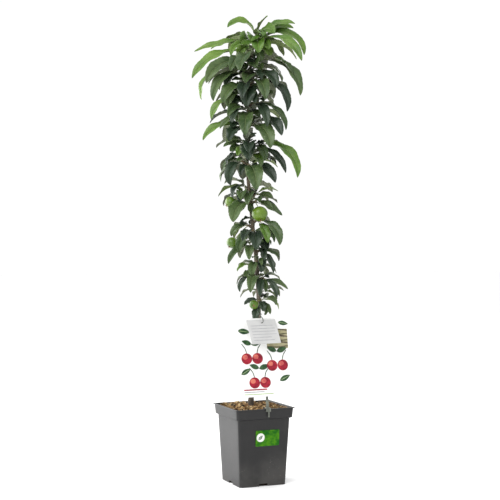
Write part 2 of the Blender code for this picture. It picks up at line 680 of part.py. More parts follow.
def grow_plant(trunk, parts, loose, finish):
    growth = Growth()
    growth.claim("trunk", body_of(trunk))
    stems = {"crown_tip": (tip_root(0.0), tip_root(1.0))}
    for name in SPURS:
        stems[name] = spur_stem(name)
    for name, (foot, end) in stems.items():
        growth.masses[name] = []
        growth.claim_guide(name, cone_between("stem_guide", foot, end, STEM_ROOM, 6, loose))
    fruit_objects = {}
    for number, row in enumerate(FRUIT):
        centre, eye = fruit_place(row)
        fruit_objects[row[0]] = (number, centre, eye, row[4])
        guide = fruit_object("fruit_guide", centre, row[4] + 2 * LEAF_GAP, eye, loose)
        growth.claim_guide(row[0], guide, solid=True)
        stalk = fruit_stalk("stalk_guide", stems[row[0]], centre, eye, row[4], loose)
        growth.claim_guide(row[0], stalk)
    plan = [("crown_tip", tip_root(share), row) for share, *row in TIP_LEAVES]
    plan += [(name, foot.lerp(end, LEAF_START), row) for name, (foot, end) in stems.items()
             if name in SPURS for row in SPURS[name][5]]
    plan.sort(key=lambda leaf: -leaf[2][4])
    for name, root, row in plan:
        facing = FRONT_ROLL * cos(radians(row[0]))
        if not place_leaf(growth, name, root, row, HAND_SPREAD, facing, FRONT_ROLL_RANGE):
            print("no room on", name, "for the leaf", row)
    for number in range(TIP_RULE_LEAVES):
        turn = TIP_FIRST_TURN + SPIRAL_STEP * number
        if sin(radians(turn)) < TIP_FRONT_LIMIT:
            turn = -turn
        share = TIP_FIRST_SHARE - TIP_SHARE_RANGE * number / TIP_RULE_LEAVES
        row = rule_leaf(growth, TIP_LEAF_HEIGHT, turn)
        place_leaf(growth, "crown_tip", tip_root(share), row, TIP_SPREAD)
    for name in reversed(SPURS):
        height, turn, _, _, extra, rows = SPURS[name]
        side = turn if not rows else SIDE_TURNS[cos(radians(turn)) <= 0]
        angles = [side + (number - (extra - 1) / 2) * FAN for number in range(extra)]
        if rows:
            angles.insert(0, FRONT_TURN + growth.dice.uniform(-FRONT_SPREAD, FRONT_SPREAD))
        for angle in angles:
            turn = angle + growth.dice.uniform(-FAN_RANGE, FAN_RANGE)
            row = rule_leaf(growth, height * MILLI, turn)
            place_leaf(growth, name, stems[name][0].lerp(stems[name][1], LEAF_START), row, RULE_SPREAD)
    cutter = trunk_tube("trunk_room", CLEAR, loose)
    for name, bodies in growth.masses.items():
        pieces = bpy.data.collections.new(name + "_pieces")
        loose.children.link(pieces)
        start, end = stems[name]
        stem = cone_between(name, start, end, TIP_RADIUS if name == "crown_tip" else SPUR_RADIUS, 6, parts)
        stem.data.materials.append(finish)
        for number, body in enumerate(bodies):
            body_object(f"leaf_{number}", body, pieces)
        if name in fruit_objects:
            number, centre, eye, diameter = fruit_objects[name]
            fruit_object(f"apple_{number}", centre, diameter, eye, pieces)
            fruit_stalk(f"stalk_{number}", stems[name], centre, eye, diameter, pieces)
        join_all(stem, pieces, cutter)
    bpy.data.objects.remove(cutter, do_unlink=True)


def lean_matrix(origin):
    return Matrix.Translation(origin) @ Matrix.Rotation(-radians(LEAN), 4, "X")


def make_clip(parts, loose, finish):
    """A strip behind the card, a saddle over the rim, a short leg inside and a prong outside."""
    pieces = bpy.data.collections.new("clip_pieces")
    loose.children.link(pieces)
    top = POT_HEIGHT + CLEAR
    outer = -LIP_HALF - CLEAR
    lean_in = (COLLAR_TOP_HALF - COLLAR_FOOT_HALF) * CLIP_LEG / (POT_HEIGHT - POT_SHOULDER_Z - POT_WALL)
    inner = lean_in - (COLLAR_TOP_HALF - POT_WALL) + 2 * CLEAR
    saddle_depth = inner - outer + 2 * STEM_THICK
    middle = (inner + outer) / 2
    clip = box("card_clip", (STEM_WIDTH * SADDLE_SHARE, saddle_depth, STEM_THICK * 2),
               Matrix.Translation((CLIP_X, middle, top + STEM_THICK)), parts, finish)
    leg_y = inner + STEM_THICK / 2
    box("leg", (STEM_WIDTH, STEM_THICK, CLIP_LEG + STEM_THICK),
        Matrix.Translation((CLIP_X, leg_y, top - CLIP_LEG / 2 + STEM_THICK / 2)), pieces)
    prong_y = outer - STEM_THICK / 2
    box("prong", (STEM_WIDTH * PRONG_SHARE, STEM_THICK, PRONG_LENGTH + STEM_THICK),
        Matrix.Translation((CLIP_X + PRONG_X, prong_y, top - PRONG_LENGTH / 2 + STEM_THICK / 2)), pieces)
    place = lean_matrix(STEM_FOOT) @ Matrix.Translation((0, 0, STEM_LENGTH / 2 - STEM_ROOT))
    box("stem", (STEM_WIDTH, STEM_THICK, STEM_LENGTH), place, pieces)
    return join_all(clip, pieces)


def make_card(parts, finish):
    rise = (CARD_FOOT_Z - STEM_FOOT[2]) / cos(radians(LEAN)) + CARD_HEIGHT / 2
    away = -(STEM_THICK + CARD_THICK) / 2 - CLEAR
    place = lean_matrix(STEM_FOOT) @ Matrix.Translation((CARD_SHIFT, away, rise))
    return plate("picture_card", (CARD_WIDTH, CARD_THICK, CARD_HEIGHT), place, CARD_CORNER, parts, finish)


def tag_matrix():
    """The tag's place: turned a little to one side, and leaning back more than the card does."""
    turned = Matrix.Translation(TAG_CENTRE) @ Matrix.Rotation(radians(TAG_TURN), 4, "Z")
    return turned @ Matrix.Rotation(-radians(TAG_LEAN), 4, "X")


def hole_matrix():
    return tag_matrix() @ Matrix.Translation((0, 0, TAG_HEIGHT / 2 - TAG_HOLE_DOWN))


def make_tag(parts, cutters, finish):
    tag = plate("hang_tag", (TAG_WIDTH, TAG_THICK, TAG_HEIGHT), tag_matrix(), TAG_CORNER, parts, finish)
    bore = TIE_RADIUS + 2 * CLEAR
    bm = bmesh.new()
    bmesh.ops.create_cone(bm, cap_ends=True, segments=TAG_HOLE_SIDES, radius1=bore, radius2=bore,
                          depth=bore * 6)
    bm.transform(hole_matrix() @ Matrix.Rotation(pi / 2, 4, "X"))
    cut(tag, object_from(bm, "tag_hole", cutters))
    return tag


def ring_mesh(middle, ring):
    """A ring of the tie's thickness round a middle point."""
    bm = bmesh.new()
    rings = []
    for a in range(RING_TURNS):
        round_trunk = 2 * pi * a / RING_TURNS
        out = Vector((cos(round_trunk), sin(round_trunk), 0))
        circle = []
        for b in range(RING_SIDES):
            round_tie = 2 * pi * b / RING_SIDES
            spot = middle + out * (ring + TIE_RADIUS * cos(round_tie))
            spot.z += TIE_RADIUS * sin(round_tie)
            circle.append(bm.verts.new(spot))
        rings.append(circle)
    for a in range(RING_TURNS):
        here, there = rings[a], rings[(a + 1) % RING_TURNS]
        for b in range(RING_SIDES):
            after = (b + 1) % RING_SIDES
            bm.faces.new((here[b], here[after], there[after], there[b]))
    return bm


def smooth_route(knots, count):
    """Points along a Catmull-Rom curve through the knots."""
    route = []
    for t in np.linspace(0, len(knots) - 1, count):
        k = min(int(t), len(knots) - 2)
        before, after = knots[max(k - 1, 0)], knots[min(k + 2, len(knots) - 1)]
        s = t - k
        pull = (-s ** 3 + 2 * s ** 2 - s) / 2, (3 * s ** 3 - 5 * s ** 2 + 2) / 2
        push = (-3 * s ** 3 + 4 * s ** 2 + s) / 2, (s ** 3 - s ** 2) / 2
        route.append(before * pull[0] + knots[k] * pull[1] + knots[k + 1] * push[0] + after * push[1])
    return route


def make_tie(parts, loose, finish):
    """A ring round the trunk and a tail that goes over the card and through the tag's hole."""
    pieces = bpy.data.collections.new("tie_pieces")
    loose.children.link(pieces)
    middle = axis_at(TIE_Z)
    ring = by_height(THICKNESS, TIE_Z) + 2 * CLEAR + TIE_RADIUS
    tie = object_from(ring_mesh(middle, ring), "tag_tie", parts, finish)
    hole = hole_matrix()
    out = (hole.to_3x3() @ Vector((0, -1, 0))).normalized()
    up = Vector((0, 0, 1))
    centre = hole.translation
    start = middle + Vector((0, -ring, 0))
    knots = [start, start.lerp(centre, 0.35) + up * 0.008, start.lerp(centre, 0.8) + up * 0.012,
             centre + out * 0.0065 + up * 0.0085, centre + out * 0.0085,
             centre + out * 0.0040 - up * 0.0010, centre - out * 0.0016]
    route = smooth_route(knots, TAIL_POINTS)
    as_mesh(tube("tail", route, [TIE_RADIUS] * len(route), pieces, smooth=1), pieces)
    knot = bmesh.new()
    bmesh.ops.create_icosphere(knot, subdivisions=1, radius=KNOT_RADIUS)
    knot.transform(Matrix.Translation(centre - out * KNOT_BEHIND))
    object_from(knot, "knot", pieces)
    return join_all(tie, pieces)


def make_sticker(parts, finish):
    taper = (POT_SHOULDER_HALF - POT_FOOT_HALF) / POT_SHOULDER_Z
    tilt = Matrix.Rotation(np.arctan(taper), 4, "X")
    wall = POT_FOOT_HALF + taper * STICKER_Z
    place = Matrix.Translation((STICKER_X, -wall - STICKER_THICK / 2 - CLEAR, STICKER_Z)) @ tilt
    return plate("pot_sticker", (STICKER_WIDTH, STICKER_THICK, STICKER_HEIGHT), place, STICKER_CORNER, parts,
                 finish)


def main():
    clear_scene()
    parts = new_collection("potted_apple_tree")
    cutters = new_collection("cutters")
    loose = new_collection("loose")
    pot_plastic = material("pot_plastic", (0.035, 0.036, 0.038), 0.45)
    mulch = material("mulch", (0.30, 0.15, 0.07), 0.9)
    bark = material("bark", (0.22, 0.16, 0.10), 0.85)
    leaf = material("leaf", (0.07, 0.17, 0.03), 0.5)
    board = material("card_board", (0.88, 0.88, 0.87), 0.35)
    clip_plastic = material("clip_plastic", (0.24, 0.26, 0.22), 0.45)
    tag_plastic = material("tag_plastic", (0.75, 0.76, 0.78), 0.5)
    tie_plastic = material("tie_plastic", (0.06, 0.07, 0.06), 0.5)
    label = material("label", (0.10, 0.40, 0.05), 0.3)
    make_pot(parts, cutters, pot_plastic)
    make_soil(parts, loose, mulch)
    trunk = trunk_tube("trunk", 0.0, parts)
    trunk.name = "trunk"
    trunk.data.materials.append(bark)
    grow_plant(trunk, parts, loose, leaf)
    make_clip(parts, loose, clip_plastic)
    make_card(parts, board)
    make_tag(parts, cutters, tag_plastic)
    make_tie(parts, loose, tie_plastic)
    make_sticker(parts, label)
    for thing in cutters.objects:
        thing.hide_render = True
        thing.display_type = "WIRE"


main()
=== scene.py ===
from math import cos, pi, radians, sin
from random import Random

import bmesh
import bpy
import numpy as np
from mathutils import Matrix, Vector
from mathutils.bvhtree import BVHTree


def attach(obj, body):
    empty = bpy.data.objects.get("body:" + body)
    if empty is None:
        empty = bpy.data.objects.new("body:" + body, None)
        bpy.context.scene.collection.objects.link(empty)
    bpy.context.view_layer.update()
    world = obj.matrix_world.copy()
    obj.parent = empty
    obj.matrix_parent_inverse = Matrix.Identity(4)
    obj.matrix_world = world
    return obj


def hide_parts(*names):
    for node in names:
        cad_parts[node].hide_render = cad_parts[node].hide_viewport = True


# Columnar fruit tree in a square pot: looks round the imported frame. Metres, +Z up.

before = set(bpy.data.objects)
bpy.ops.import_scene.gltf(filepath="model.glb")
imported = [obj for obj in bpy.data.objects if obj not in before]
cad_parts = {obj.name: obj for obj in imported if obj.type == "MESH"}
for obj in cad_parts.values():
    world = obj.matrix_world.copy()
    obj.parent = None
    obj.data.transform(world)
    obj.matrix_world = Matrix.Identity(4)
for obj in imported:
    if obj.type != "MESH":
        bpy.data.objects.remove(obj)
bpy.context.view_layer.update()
milli = 0.001
clear = 0.0003
maxTriangles = 180000
print("frame loaded with", len(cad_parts), "nodes")


# Shader maths: a field wraps a socket, and Python's operators add Math nodes
class Field:
    def __init__(self, finish, socket):
        self.finish = finish
        self.socket = socket

    def maths(self, operation, first, second=0.0):
        return self.finish.node("ShaderNodeMath", {"operation": operation}, {0: first, 1: second})

    def __add__(self, other):
        return self.maths("ADD", self, other)

    def __sub__(self, other):
        return self.maths("SUBTRACT", self, other)

    def __rsub__(self, other):
        return self.maths("SUBTRACT", other, self)

    def __mul__(self, other):
        return self.maths("MULTIPLY", self, other)

    __radd__ = __add__
    __rmul__ = __mul__

    def size(self):
        return self.maths("ABSOLUTE", self)

    def fraction(self):
        return self.maths("FRACT", self)

    def highest(self, other):
        return self.maths("MAXIMUM", self, other)

    def between(self, low, high):  # 0 at low, 1 at high, smooth between
        return self.finish.node("ShaderNodeMapRange", {"interpolation_type": "SMOOTHSTEP"},
                                {"Value": self, "From Min": low, "From Max": high})

    def output(self, name):
        return Field(self.finish, self.socket.node.outputs[name])


# A material being built, with the few node recipes that the pieces share
class Finish:
    def __init__(self, name, colour, roughness, **constants):
        self.material = bpy.data.materials.new(name)
        self.material.use_nodes = True
        self.tree = self.material.node_tree
        self.shader = self.tree.nodes["Principled BSDF"]
        self.colour(colour)
        self.rough(roughness)
        for socket, value in constants.items():
            self.put(self.shader.inputs[socket.replace("_", " ")], value)

    def put(self, socket, value):
        if isinstance(value, Field):
            self.tree.links.new(value.socket, socket)
        elif socket.type == "RGBA":
            socket.default_value = (*value, 1.0)
        else:
            socket.default_value = value

    def node(self, kind, settings=None, inputs=None, out=0):
        made = self.tree.nodes.new(kind)
        for name, value in (settings or {}).items():
            setattr(made, name, value)
        for name, value in (inputs or {}).items():
            self.put(made.inputs[name], value)
        return Field(self, made.outputs[out])

    def coordinates(self, kind="Object"):
        return self.node("ShaderNodeTexCoord", out=kind)

    def parts(self, vector):
        return self.node("ShaderNodeSeparateXYZ", None, {"Vector": vector})

    def height(self):
        return self.parts(self.coordinates()).output("Z")

    def noise(self, scale, detail=3.0, roughness=0.55, stretch=None):
        place = self.coordinates()
        if stretch:
            place = self.node("ShaderNodeMapping", None, {"Vector": place, "Scale": stretch})
        return self.node("ShaderNodeTexNoise", None,
                         {"Vector": place, "Scale": scale, "Detail": detail, "Roughness": roughness})

    def cells(self, scale):
        return self.node("ShaderNodeTexVoronoi", None, {"Vector": self.coordinates(), "Scale": scale})

    def mix(self, share, first, second):
        return self.node("ShaderNodeMix", {"data_type": "RGBA"}, {0: share, 6: first, 7: second}, 2)

    def colour(self, value):
        self.put(self.shader.inputs["Base Color"], value)

    def rough(self, value):
        self.put(self.shader.inputs["Roughness"], value)

    def bump(self, height, distance):
        self.put(self.shader.inputs["Normal"],
                 self.node("ShaderNodeBump", None, {"Height": height, "Distance": distance, "Strength": 1.0}))


# Two tones in soft patches
def mottled(name, dark, light, scale, roughness, low=0.35, high=0.65, **constants):
    f = Finish(name, dark, roughness, **constants)
    f.colour(f.mix(f.noise(scale).between(low, high), dark, light))
    return f


# Two tones in fine grains that also stand out
def crumbly(name, dark, light, scale, roughness=0.95, **constants):
    f = Finish(name, dark, roughness, **constants)
    grain = f.noise(scale, 5.0, 0.7)
    fibre = f.noise(scale * 2.5, 3.0, 0.6)
    f.colour(f.mix((grain * 0.6 + fibre * 0.4).between(0.35, 0.65), dark, light))
    f.bump(grain + fibre * 0.5, 0.0008)
    return f


# Bodies wait in a heap until they are joined into one piece
class Heap:
    def __init__(self, *bodies):
        self.bodies = []
        self.masses = set()
        self.triangles = 0
        for body in bodies:
            self.add(body)

    def add(self, body, finish=0, uv=None, mass=None):
        points, quads, tris = body
        quadFinish = np.broadcast_to(finish, len(quads))
        triFinish = np.full(len(tris), 0 if np.ndim(finish) else finish)
        uv = np.zeros((len(points), 2)) if uv is None else uv
        self.bodies.append((points, quads, tris, quadFinish, triFinish, uv))
        self.triangles += 2 * len(quads) + len(tris)
        if mass:
            self.masses.add(mass)


def linked(name, data):
    made = bpy.data.objects.new(name, data)
    bpy.context.scene.collection.objects.link(made)
    return made


# One mesh from whole arrays: quads first, then triangles, each with its finish
def makePiece(name, heap, finishes, replaced=(), sharp=42.0):
    points, quads, tris, quadFinish, triFinish, uv = zip(*heap.bodies)
    shifts = np.cumsum([0] + [len(some) for some in points])
    quads = np.concatenate([some + shift for some, shift in zip(quads, shifts)])
    tris = np.concatenate([some + shift for some, shift in zip(tris, shifts)])
    points, finish, uv = np.concatenate(points), np.concatenate(quadFinish + triFinish), np.concatenate(uv)
    loops = np.concatenate((quads.ravel(), tris.ravel())).astype(np.int32)
    starts = np.concatenate((np.arange(len(quads)) * 4, len(quads) * 4 + np.arange(len(tris)) * 3))
    mesh = bpy.data.meshes.new(name)
    mesh.vertices.add(len(points))
    mesh.vertices.foreach_set("co", points.astype(np.float32).ravel())
    mesh.loops.add(len(loops))
    mesh.loops.foreach_set("vertex_index", loops)
    mesh.polygons.add(len(starts))
    mesh.polygons.foreach_set("loop_start", starts.astype(np.int32))
    mesh.polygons.foreach_set("material_index", finish.astype(np.int32))
    mesh.uv_layers.new(name="UVMap").data.foreach_set("uv", uv[loops].astype(np.float32).ravel())
    mesh.update(calc_edges=True)
    mesh.shade_smooth()
    mesh.set_sharp_from_angle(angle=radians(sharp))
    for one in finishes:
        mesh.materials.append(one.material)
    piece = linked(name, mesh)
    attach(piece, "root")
    if replaced:
        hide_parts(*replaced)
    return piece


def unit(vectors):
    return vectors / np.linalg.norm(vectors, axis=-1, keepdims=True)


# Corners of a circle of radius one
def circle(sides):
    angles = np.arange(sides) * 2 * pi / sides
    return np.stack((np.cos(angles), np.sin(angles)), 1)


# Rings of points, one after another, joined by quads and closed by a pole at each end
def sleeve(rings, poles=None):
    rows, columns = rings.shape[:2]
    row = np.arange(rows - 1)[:, None] * columns
    column = np.arange(columns)[None, :]
    after = (column + 1) % columns
    quads = np.stack((row + column, row + after, row + columns + after, row + columns + column), -1)
    poles = (rings[0].mean(0), rings[-1].mean(0)) if poles is None else poles
    points = np.concatenate((rings.reshape(-1, 3), poles))
    k, after, last = column[0], after[0], (rows - 1) * columns
    foot = np.stack((after, k, np.full(columns, rows * columns)), -1)
    head = np.stack((last + k, last + after, np.full(columns, rows * columns + 1)), -1)
    return points, quads.reshape(-1, 4), np.concatenate((foot, head))


# A section carried along a path: each point is the path plus the side times the section's x plus the
# upright times its y, with the side kept as near as it can be to a hint
def sweep(path, radii, hint, sides=12, section=None, relief=0.0):
    tangent = unit(np.gradient(path, axis=0))
    side = unit(hint - tangent * (tangent @ np.asarray(hint, float))[:, None])
    upright = np.cross(tangent, side)
    section = circle(sides) if section is None else section
    scale = (np.broadcast_to(radii, len(path))[:, None] + relief)[..., None]
    across = side[:, None] * section[None, :, :1] + upright[:, None] * section[None, :, 1:]
    return sleeve(path[:, None] + scale * across)


# Heights drawn at whole numbers and joined smoothly; u goes round and meets itself after wrap
def roughness2d(u, v, wrap, seed):
    heights = np.random.default_rng(seed).uniform(-1, 1, (wrap, 512))
    lowU, lowV = np.floor(u).astype(int), np.floor(v).astype(int)
    shareU, shareV = u - lowU, v - lowV
    shareU = shareU * shareU * (3 - 2 * shareU)
    shareV = shareV * shareV * (3 - 2 * shareV)

    def pick(a, b):
        return heights[a % wrap, b % 512]

    low = pick(lowU, lowV) * (1 - shareU) + pick(lowU + 1, lowV) * shareU
    high = pick(lowU, lowV + 1) * (1 - shareU) + pick(lowU + 1, lowV + 1) * shareU
    return low * (1 - shareV) + high * shareV


# Camera, floor and lights
camera = {"distance": 3.0, "height": 0.617, "turn": -23.45, "aimLeft": 0.176, "aimUp": 0.181, "lens": 79.8,
          "sensor": 36.0}
lights = {
    "key": {"place": (-2.6, -1.6, 2.6), "size": 2.6, "power": 106.0},
    "back": {"place": (-2.0, 2.3, 1.1), "size": 2.4, "power": 124.0},
    "rim": {"place": (2.2, 2.0, 2.8), "size": 1.6, "power": 26.0},
}
room = {"floor": 0.98, "sky": 1.03, "width": 60.0, "lit": (0, 0, 0.6)}


def makeStudio():
    scene = bpy.context.scene
    turn = radians(camera["turn"])
    forward = Vector((-sin(turn), cos(turn), 0))
    eye = linked("camera", bpy.data.cameras.new("camera"))
    eye.location = Vector((0, 0, camera["height"])) - forward * camera["distance"]
    eye.rotation_euler = (pi / 2 + radians(camera["aimUp"]), 0, turn + radians(camera["aimLeft"]))
    eye.data.lens = camera["lens"]
    eye.data.sensor_width = camera["sensor"]
    scene.camera = eye
    for name, light in lights.items():
        lamp = linked(name, bpy.data.lights.new(name, "AREA"))
        lamp.data.size = light["size"]
        lamp.data.energy = light["power"]
        lamp.location = light["place"]
        lamp.rotation_euler = (Vector(room["lit"]) - lamp.location).to_track_quat("-Z", "Y").to_euler()
    sky = bpy.data.worlds.new("studio")
    sky.use_nodes = True
    background = sky.node_tree.nodes["Background"]
    background.inputs["Color"].default_value = (1.0, 1.0, 1.0, 1.0)
    background.inputs["Strength"].default_value = room["sky"]
    scene.world = sky
    scene.view_settings.view_transform = "Standard"
    half = room["width"] / 2
    mesh = bpy.data.meshes.new("floor")
    corners = [(-half, -half, 0), (half, -half, 0), (half, half, 0), (-half, half, 0)]
    mesh.from_pydata(corners, [], [(0, 1, 2, 3)])
    mesh.materials.append(Finish("floorWhite", (room["floor"],) * 3, 0.7).material)
    linked("floor", mesh)


# Pot: half widths and heights of its outline, from the middle of its underside to the lip and down the inside
pot = {
    "core": 0.010, "foot": 0.066, "shoulder": 0.075, "shoulderZ": 0.178, "collarFoot": 0.0805,
    "collarTop": 0.0825, "lip": 0.0852, "height": 0.207, "wall": 0.0022, "corner": 0.007, "lipCorner": 0.0045,
    "cornerSteps": 7, "sideSteps": 10, "levelStep": 0.02, "bow": 0.0006, "bowFrom": 0.01, "bowTo": 0.17, "rounding": 0.0007,
    "notch": (0.025, 0.018, 0.014), "sharp": 30.0,
}


# Points round a square: quarter arcs at the corners, and sides that bow in a little at their middle
def roundedSquare(halfWidth, corner, bow=0.0):
    corner = min(corner, halfWidth * 0.5)
    arc = np.linspace(0, pi / 2, pot["cornerSteps"])
    inner = halfWidth - corner
    corners = np.stack((inner + corner * np.cos(arc), inner + corner * np.sin(arc)), 1)
    along = np.linspace(inner, -inner, pot["sideSteps"] + 1)[1:-1]
    straight = np.stack((along, halfWidth - bow * np.cos(along / inner * pi / 2)), 1)
    quarter = np.concatenate((corners, straight))
    turns = [np.array(((cos(a), sin(a)), (-sin(a), cos(a)))) for a in np.arange(4) * pi / 2]
    return np.concatenate([quarter @ t for t in turns])


def ringAt(flat, heights):
    return np.column_stack((flat, np.broadcast_to(heights, len(flat))))


# A run of corners, each replaced by a short arc through three points
def softened(outline, radius):
    outline = np.array(outline, float)
    points = [outline[0]]
    for before, here, after in zip(outline, outline[1:], outline[2:]):
        toBefore, toAfter = before - here, after - here
        reach = min(radius, np.linalg.norm(toBefore) * 0.45, np.linalg.norm(toAfter) * 0.45)
        start, end = here + unit(toBefore) * reach, here + unit(toAfter) * reach
        points += [start, (start + 2 * here + end) / 4, end]
    return points + [outline[-1]]


def potPlastic():
    f = Finish("potPlastic", (0.03, 0.03, 0.03), 0.42, Specular_IOR_Level=0.32)
    height = f.height()
    cloud = f.noise(7.0, 4.0)
    grain = f.noise(420.0, 2.0)
    streak = f.noise(1.0, 4.0, 0.6, (160.0, 160.0, 9.0))
    base = f.mix(cloud.between(0.35, 0.7), (0.0085, 0.0083, 0.0085), (0.0170, 0.0165, 0.0165))
    # Lighter, rougher patches towards the foot: partly dust, partly a painted reflection of the floor on the lower
    # walls; faint vertical streaks of dust join them
    dustAndPaintedReflection = (1 - height.between(0.0, 0.12)) * cloud.between(0.42, 0.66) * 0.42
    dustAndPaintedReflection = dustAndPaintedReflection + streak.between(0.58, 0.8) * 0.12
    base = f.mix(dustAndPaintedReflection, base, (0.080, 0.076, 0.070))
    specks = (1 - f.cells(190.0).between(0.05, 0.14)) * f.noise(16.0, 2.0).between(0.56, 0.64)
    specks = specks * (1 - height.between(0.07, 0.12))
    f.colour(f.mix(specks, base, (0.26, 0.24, 0.21)))
    f.rough(0.34 + dustAndPaintedReflection * 0.5 + grain * 0.12)
    f.bump(grain * 0.4 + streak * 0.4 + cloud * 0.3, 0.00025)
    return f


# The outline's levels as rings, then four notches cut out of the foot
def makePot():
    wall, top, shoulderZ = pot["wall"], pot["height"], pot["shoulderZ"]
    core, foot, shoulder, collarFoot, collarTop = (
        pot[name] for name in ("core", "foot", "shoulder", "collarFoot", "collarTop"))
    outline = softened((
        (core, 0.0), (foot, 0.0), (shoulder, shoulderZ), (collarFoot, shoulderZ + wall),
        (collarTop, top - wall), (pot["lip"], top - wall), (pot["lip"], top), (collarTop - wall, top),
        (collarFoot - wall, shoulderZ + 2 * wall), (shoulder - wall, shoulderZ + wall), (foot - wall, wall),
        (core, wall)), pot["rounding"])
    levels = []
    for low, high in zip(outline, outline[1:]):
        steps = max(1, int(abs(high[1] - low[1]) / pot["levelStep"]))
        levels.extend(np.linspace(low, high, steps, endpoint=False))
    rings = []
    for halfWidth, z in levels + [outline[-1]]:
        bow = pot["bow"] if pot["bowFrom"] < z < pot["bowTo"] else 0.0
        corner = pot["lipCorner"] if halfWidth > collarTop else pot["corner"]
        rings.append(ringAt(roundedSquare(halfWidth, corner, bow), z))
    shell = sleeve(np.array(rings), ((0, 0, 0), (0, 0, wall)))
    piece = makePiece("squarePot", Heap(shell), [potPlastic()], ["pot"], pot["sharp"])
    cutters = []
    for quarter in range(4):
        bm = bmesh.new()
        bmesh.ops.create_cube(bm, size=1.0)
        bmesh.ops.scale(bm, vec=Vector(pot["notch"]), verts=bm.verts)
        bm.transform(Matrix.Rotation(quarter * pi / 2, 4, "Z") @ Matrix.Translation((0, -foot, 0)))
        mesh = bpy.data.meshes.new("notch")
        bm.to_mesh(mesh)
        bm.free()
        cutters.append(linked("notch", mesh))
        step = piece.modifiers.new("notch", "BOOLEAN")
        step.operation = "DIFFERENCE"
        step.object = cutters[-1]
    graph = bpy.context.evaluated_depsgraph_get()
    cut = bpy.data.meshes.new_from_object(piece.evaluated_get(graph))
    piece.modifiers.clear()
    piece.data = cut
    cut.set_sharp_from_angle(angle=radians(pot["sharp"]))
    for cutter in cutters:
        bpy.data.objects.remove(cutter, do_unlink=True)


# Potting mix: its side up to its edge, then rings inwards over the mound
mulch = {
    "side": ((0.03, 0.0027), (0.0636, 0.0027), (0.0722, 0.1765), (0.0722, 0.183), (0.0771, 0.1832)),
    "half": 0.0771, "edgeZ": 0.1945, "middleZ": 0.1985, "corner": 0.0048, "ringShares": (0.97, 0.04, 22),
    "relief": 0.0016, "lumpScale": 160, "lumpShift": 50, "heap": (-0.03, 0.055, 0.035, 0.005),
}
chips = {
    "count": 1800, "seed": 5, "length": (0.006, 0.026), "shorten": (0.6, 1.0), "width": (0.10, 0.28),
    "thick": (0.25, 0.7), "stations": (0.0, 0.12, 0.5, 0.85, 1.0), "girth": (0.45, 0.9, 1.0, 0.85, 0.35),
    "sides": 6, "jitter": 0.28, "lean": 0.62, "margin": 0.001, "lift": 0.0012, "layer": 0.0085,
    "stem": (-0.009, 0.004, 0.012), "shares": (0.32, 0.46, 0.68), "grain": 260.0,
    "tones": {
        "chipTan": ((0.24, 0.140, 0.050), (0.46, 0.29, 0.110)),
        "chipOrange": ((0.12, 0.056, 0.016), (0.28, 0.140, 0.042)),
        "chipStraw": ((0.36, 0.25, 0.11), (0.60, 0.45, 0.24)),
        "chipDark": ((0.010, 0.006, 0.004), (0.050, 0.028, 0.014)),
    },
}


# The mound falls from its middle with the square of how far out a point lies, and bears a bell-shaped heap
def moundHeight(x, y):
    edge = np.maximum(np.abs(x), np.abs(y)) / mulch["half"]
    atX, atY, spread, rise = mulch["heap"]
    heap = rise * np.exp(-((x - atX) ** 2 + (y - atY) ** 2) / spread ** 2)
    return mulch["middleZ"] - (mulch["middleZ"] - mulch["edgeZ"]) * edge ** 2 + heap


def makePottingMix():
    side = (*mulch["side"], (mulch["half"], mulch["edgeZ"]))
    rings = [ringAt(roundedSquare(halfWidth, mulch["corner"]), z) for halfWidth, z in side]
    for share in np.linspace(*mulch["ringShares"]):
        flat = roundedSquare(share * mulch["half"], mulch["corner"])
        lumps = roughness2d(*(flat.T * mulch["lumpScale"] + mulch["lumpShift"]), 2 * mulch["lumpShift"] + 1, 3)
        rings.append(ringAt(flat, moundHeight(*flat.T) + mulch["relief"] * lumps))
    soil = crumbly("pottingMix", (0.003, 0.002, 0.0015), (0.014, 0.009, 0.005), 300.0, Specular_IOR_Level=0.05)
    makePiece("pottingMix", Heap(sleeve(np.array(rings))), [soil], ["bark_mulch"])


# Two coordinates of every chip, turned by the chip's own angle
def turnedBy(angles, a, b):
    c, s = np.cos(angles)[:, None], np.sin(angles)[:, None]
    return a * c - b * s, a * s + b * c


# Six-sided splinters with blunt ends, all made at once: one template, stretched, jittered, turned and laid
# down, save those that would lie in the stem
def makeChips():
    dice = np.random.default_rng(chips["seed"])
    count, rows = chips["count"], len(chips["stations"])
    girth = np.repeat(chips["girth"], chips["sides"])[:, None] / 2
    stations = np.repeat(chips["stations"], chips["sides"]) - 0.5
    template = np.column_stack((stations, np.tile(circle(chips["sides"]), (rows, 1)) * girth))
    length = dice.uniform(*chips["length"], count) * dice.uniform(*chips["shorten"], count)
    width = length * dice.uniform(*chips["width"], count)
    size = np.stack((length, width, width * dice.uniform(*chips["thick"], count)), 1)
    jitter = dice.uniform(-chips["jitter"], chips["jitter"], (count, *template.shape))
    x, y, z = np.moveaxis(template * (1 + jitter) * size[:, None], -1, 0)
    spin = dice.uniform(0, 2 * pi, count)
    roll, pitch = dice.uniform(-1, 1, (2, count)) * chips["lean"]
    y, z = turnedBy(roll, y, z)
    x, z = turnedBy(pitch, x, z)
    x, y = turnedBy(spin, x, y)
    free = mulch["half"] - chips["margin"] - np.maximum(np.abs(x).max(1), np.abs(y).max(1))
    atX, atY = dice.uniform(-1, 1, count) * free, dice.uniform(-1, 1, count) * free
    atZ = moundHeight(atX, atY) + chips["lift"] + dice.random(count) * chips["layer"]
    laid = np.stack((x + atX[:, None], y + atY[:, None], z + atZ[:, None]), -1)
    stemX, stemY, stemRoom = chips["stem"]
    keep = np.hypot(atX - stemX, atY - stemY) > stemRoom
    kinds = np.digitize(dice.random(count), chips["shares"])
    for number, (name, (dark, light)) in enumerate(chips["tones"].items()):
        bodies = [sleeve(chip.reshape(rows, -1, 3)) for chip in laid[keep & (kinds == number)]]
        finish = crumbly(name, dark, light, chips["grain"])
        makePiece(f"barkChips_{number + 1}", Heap(*bodies), [finish], sharp=30.0)


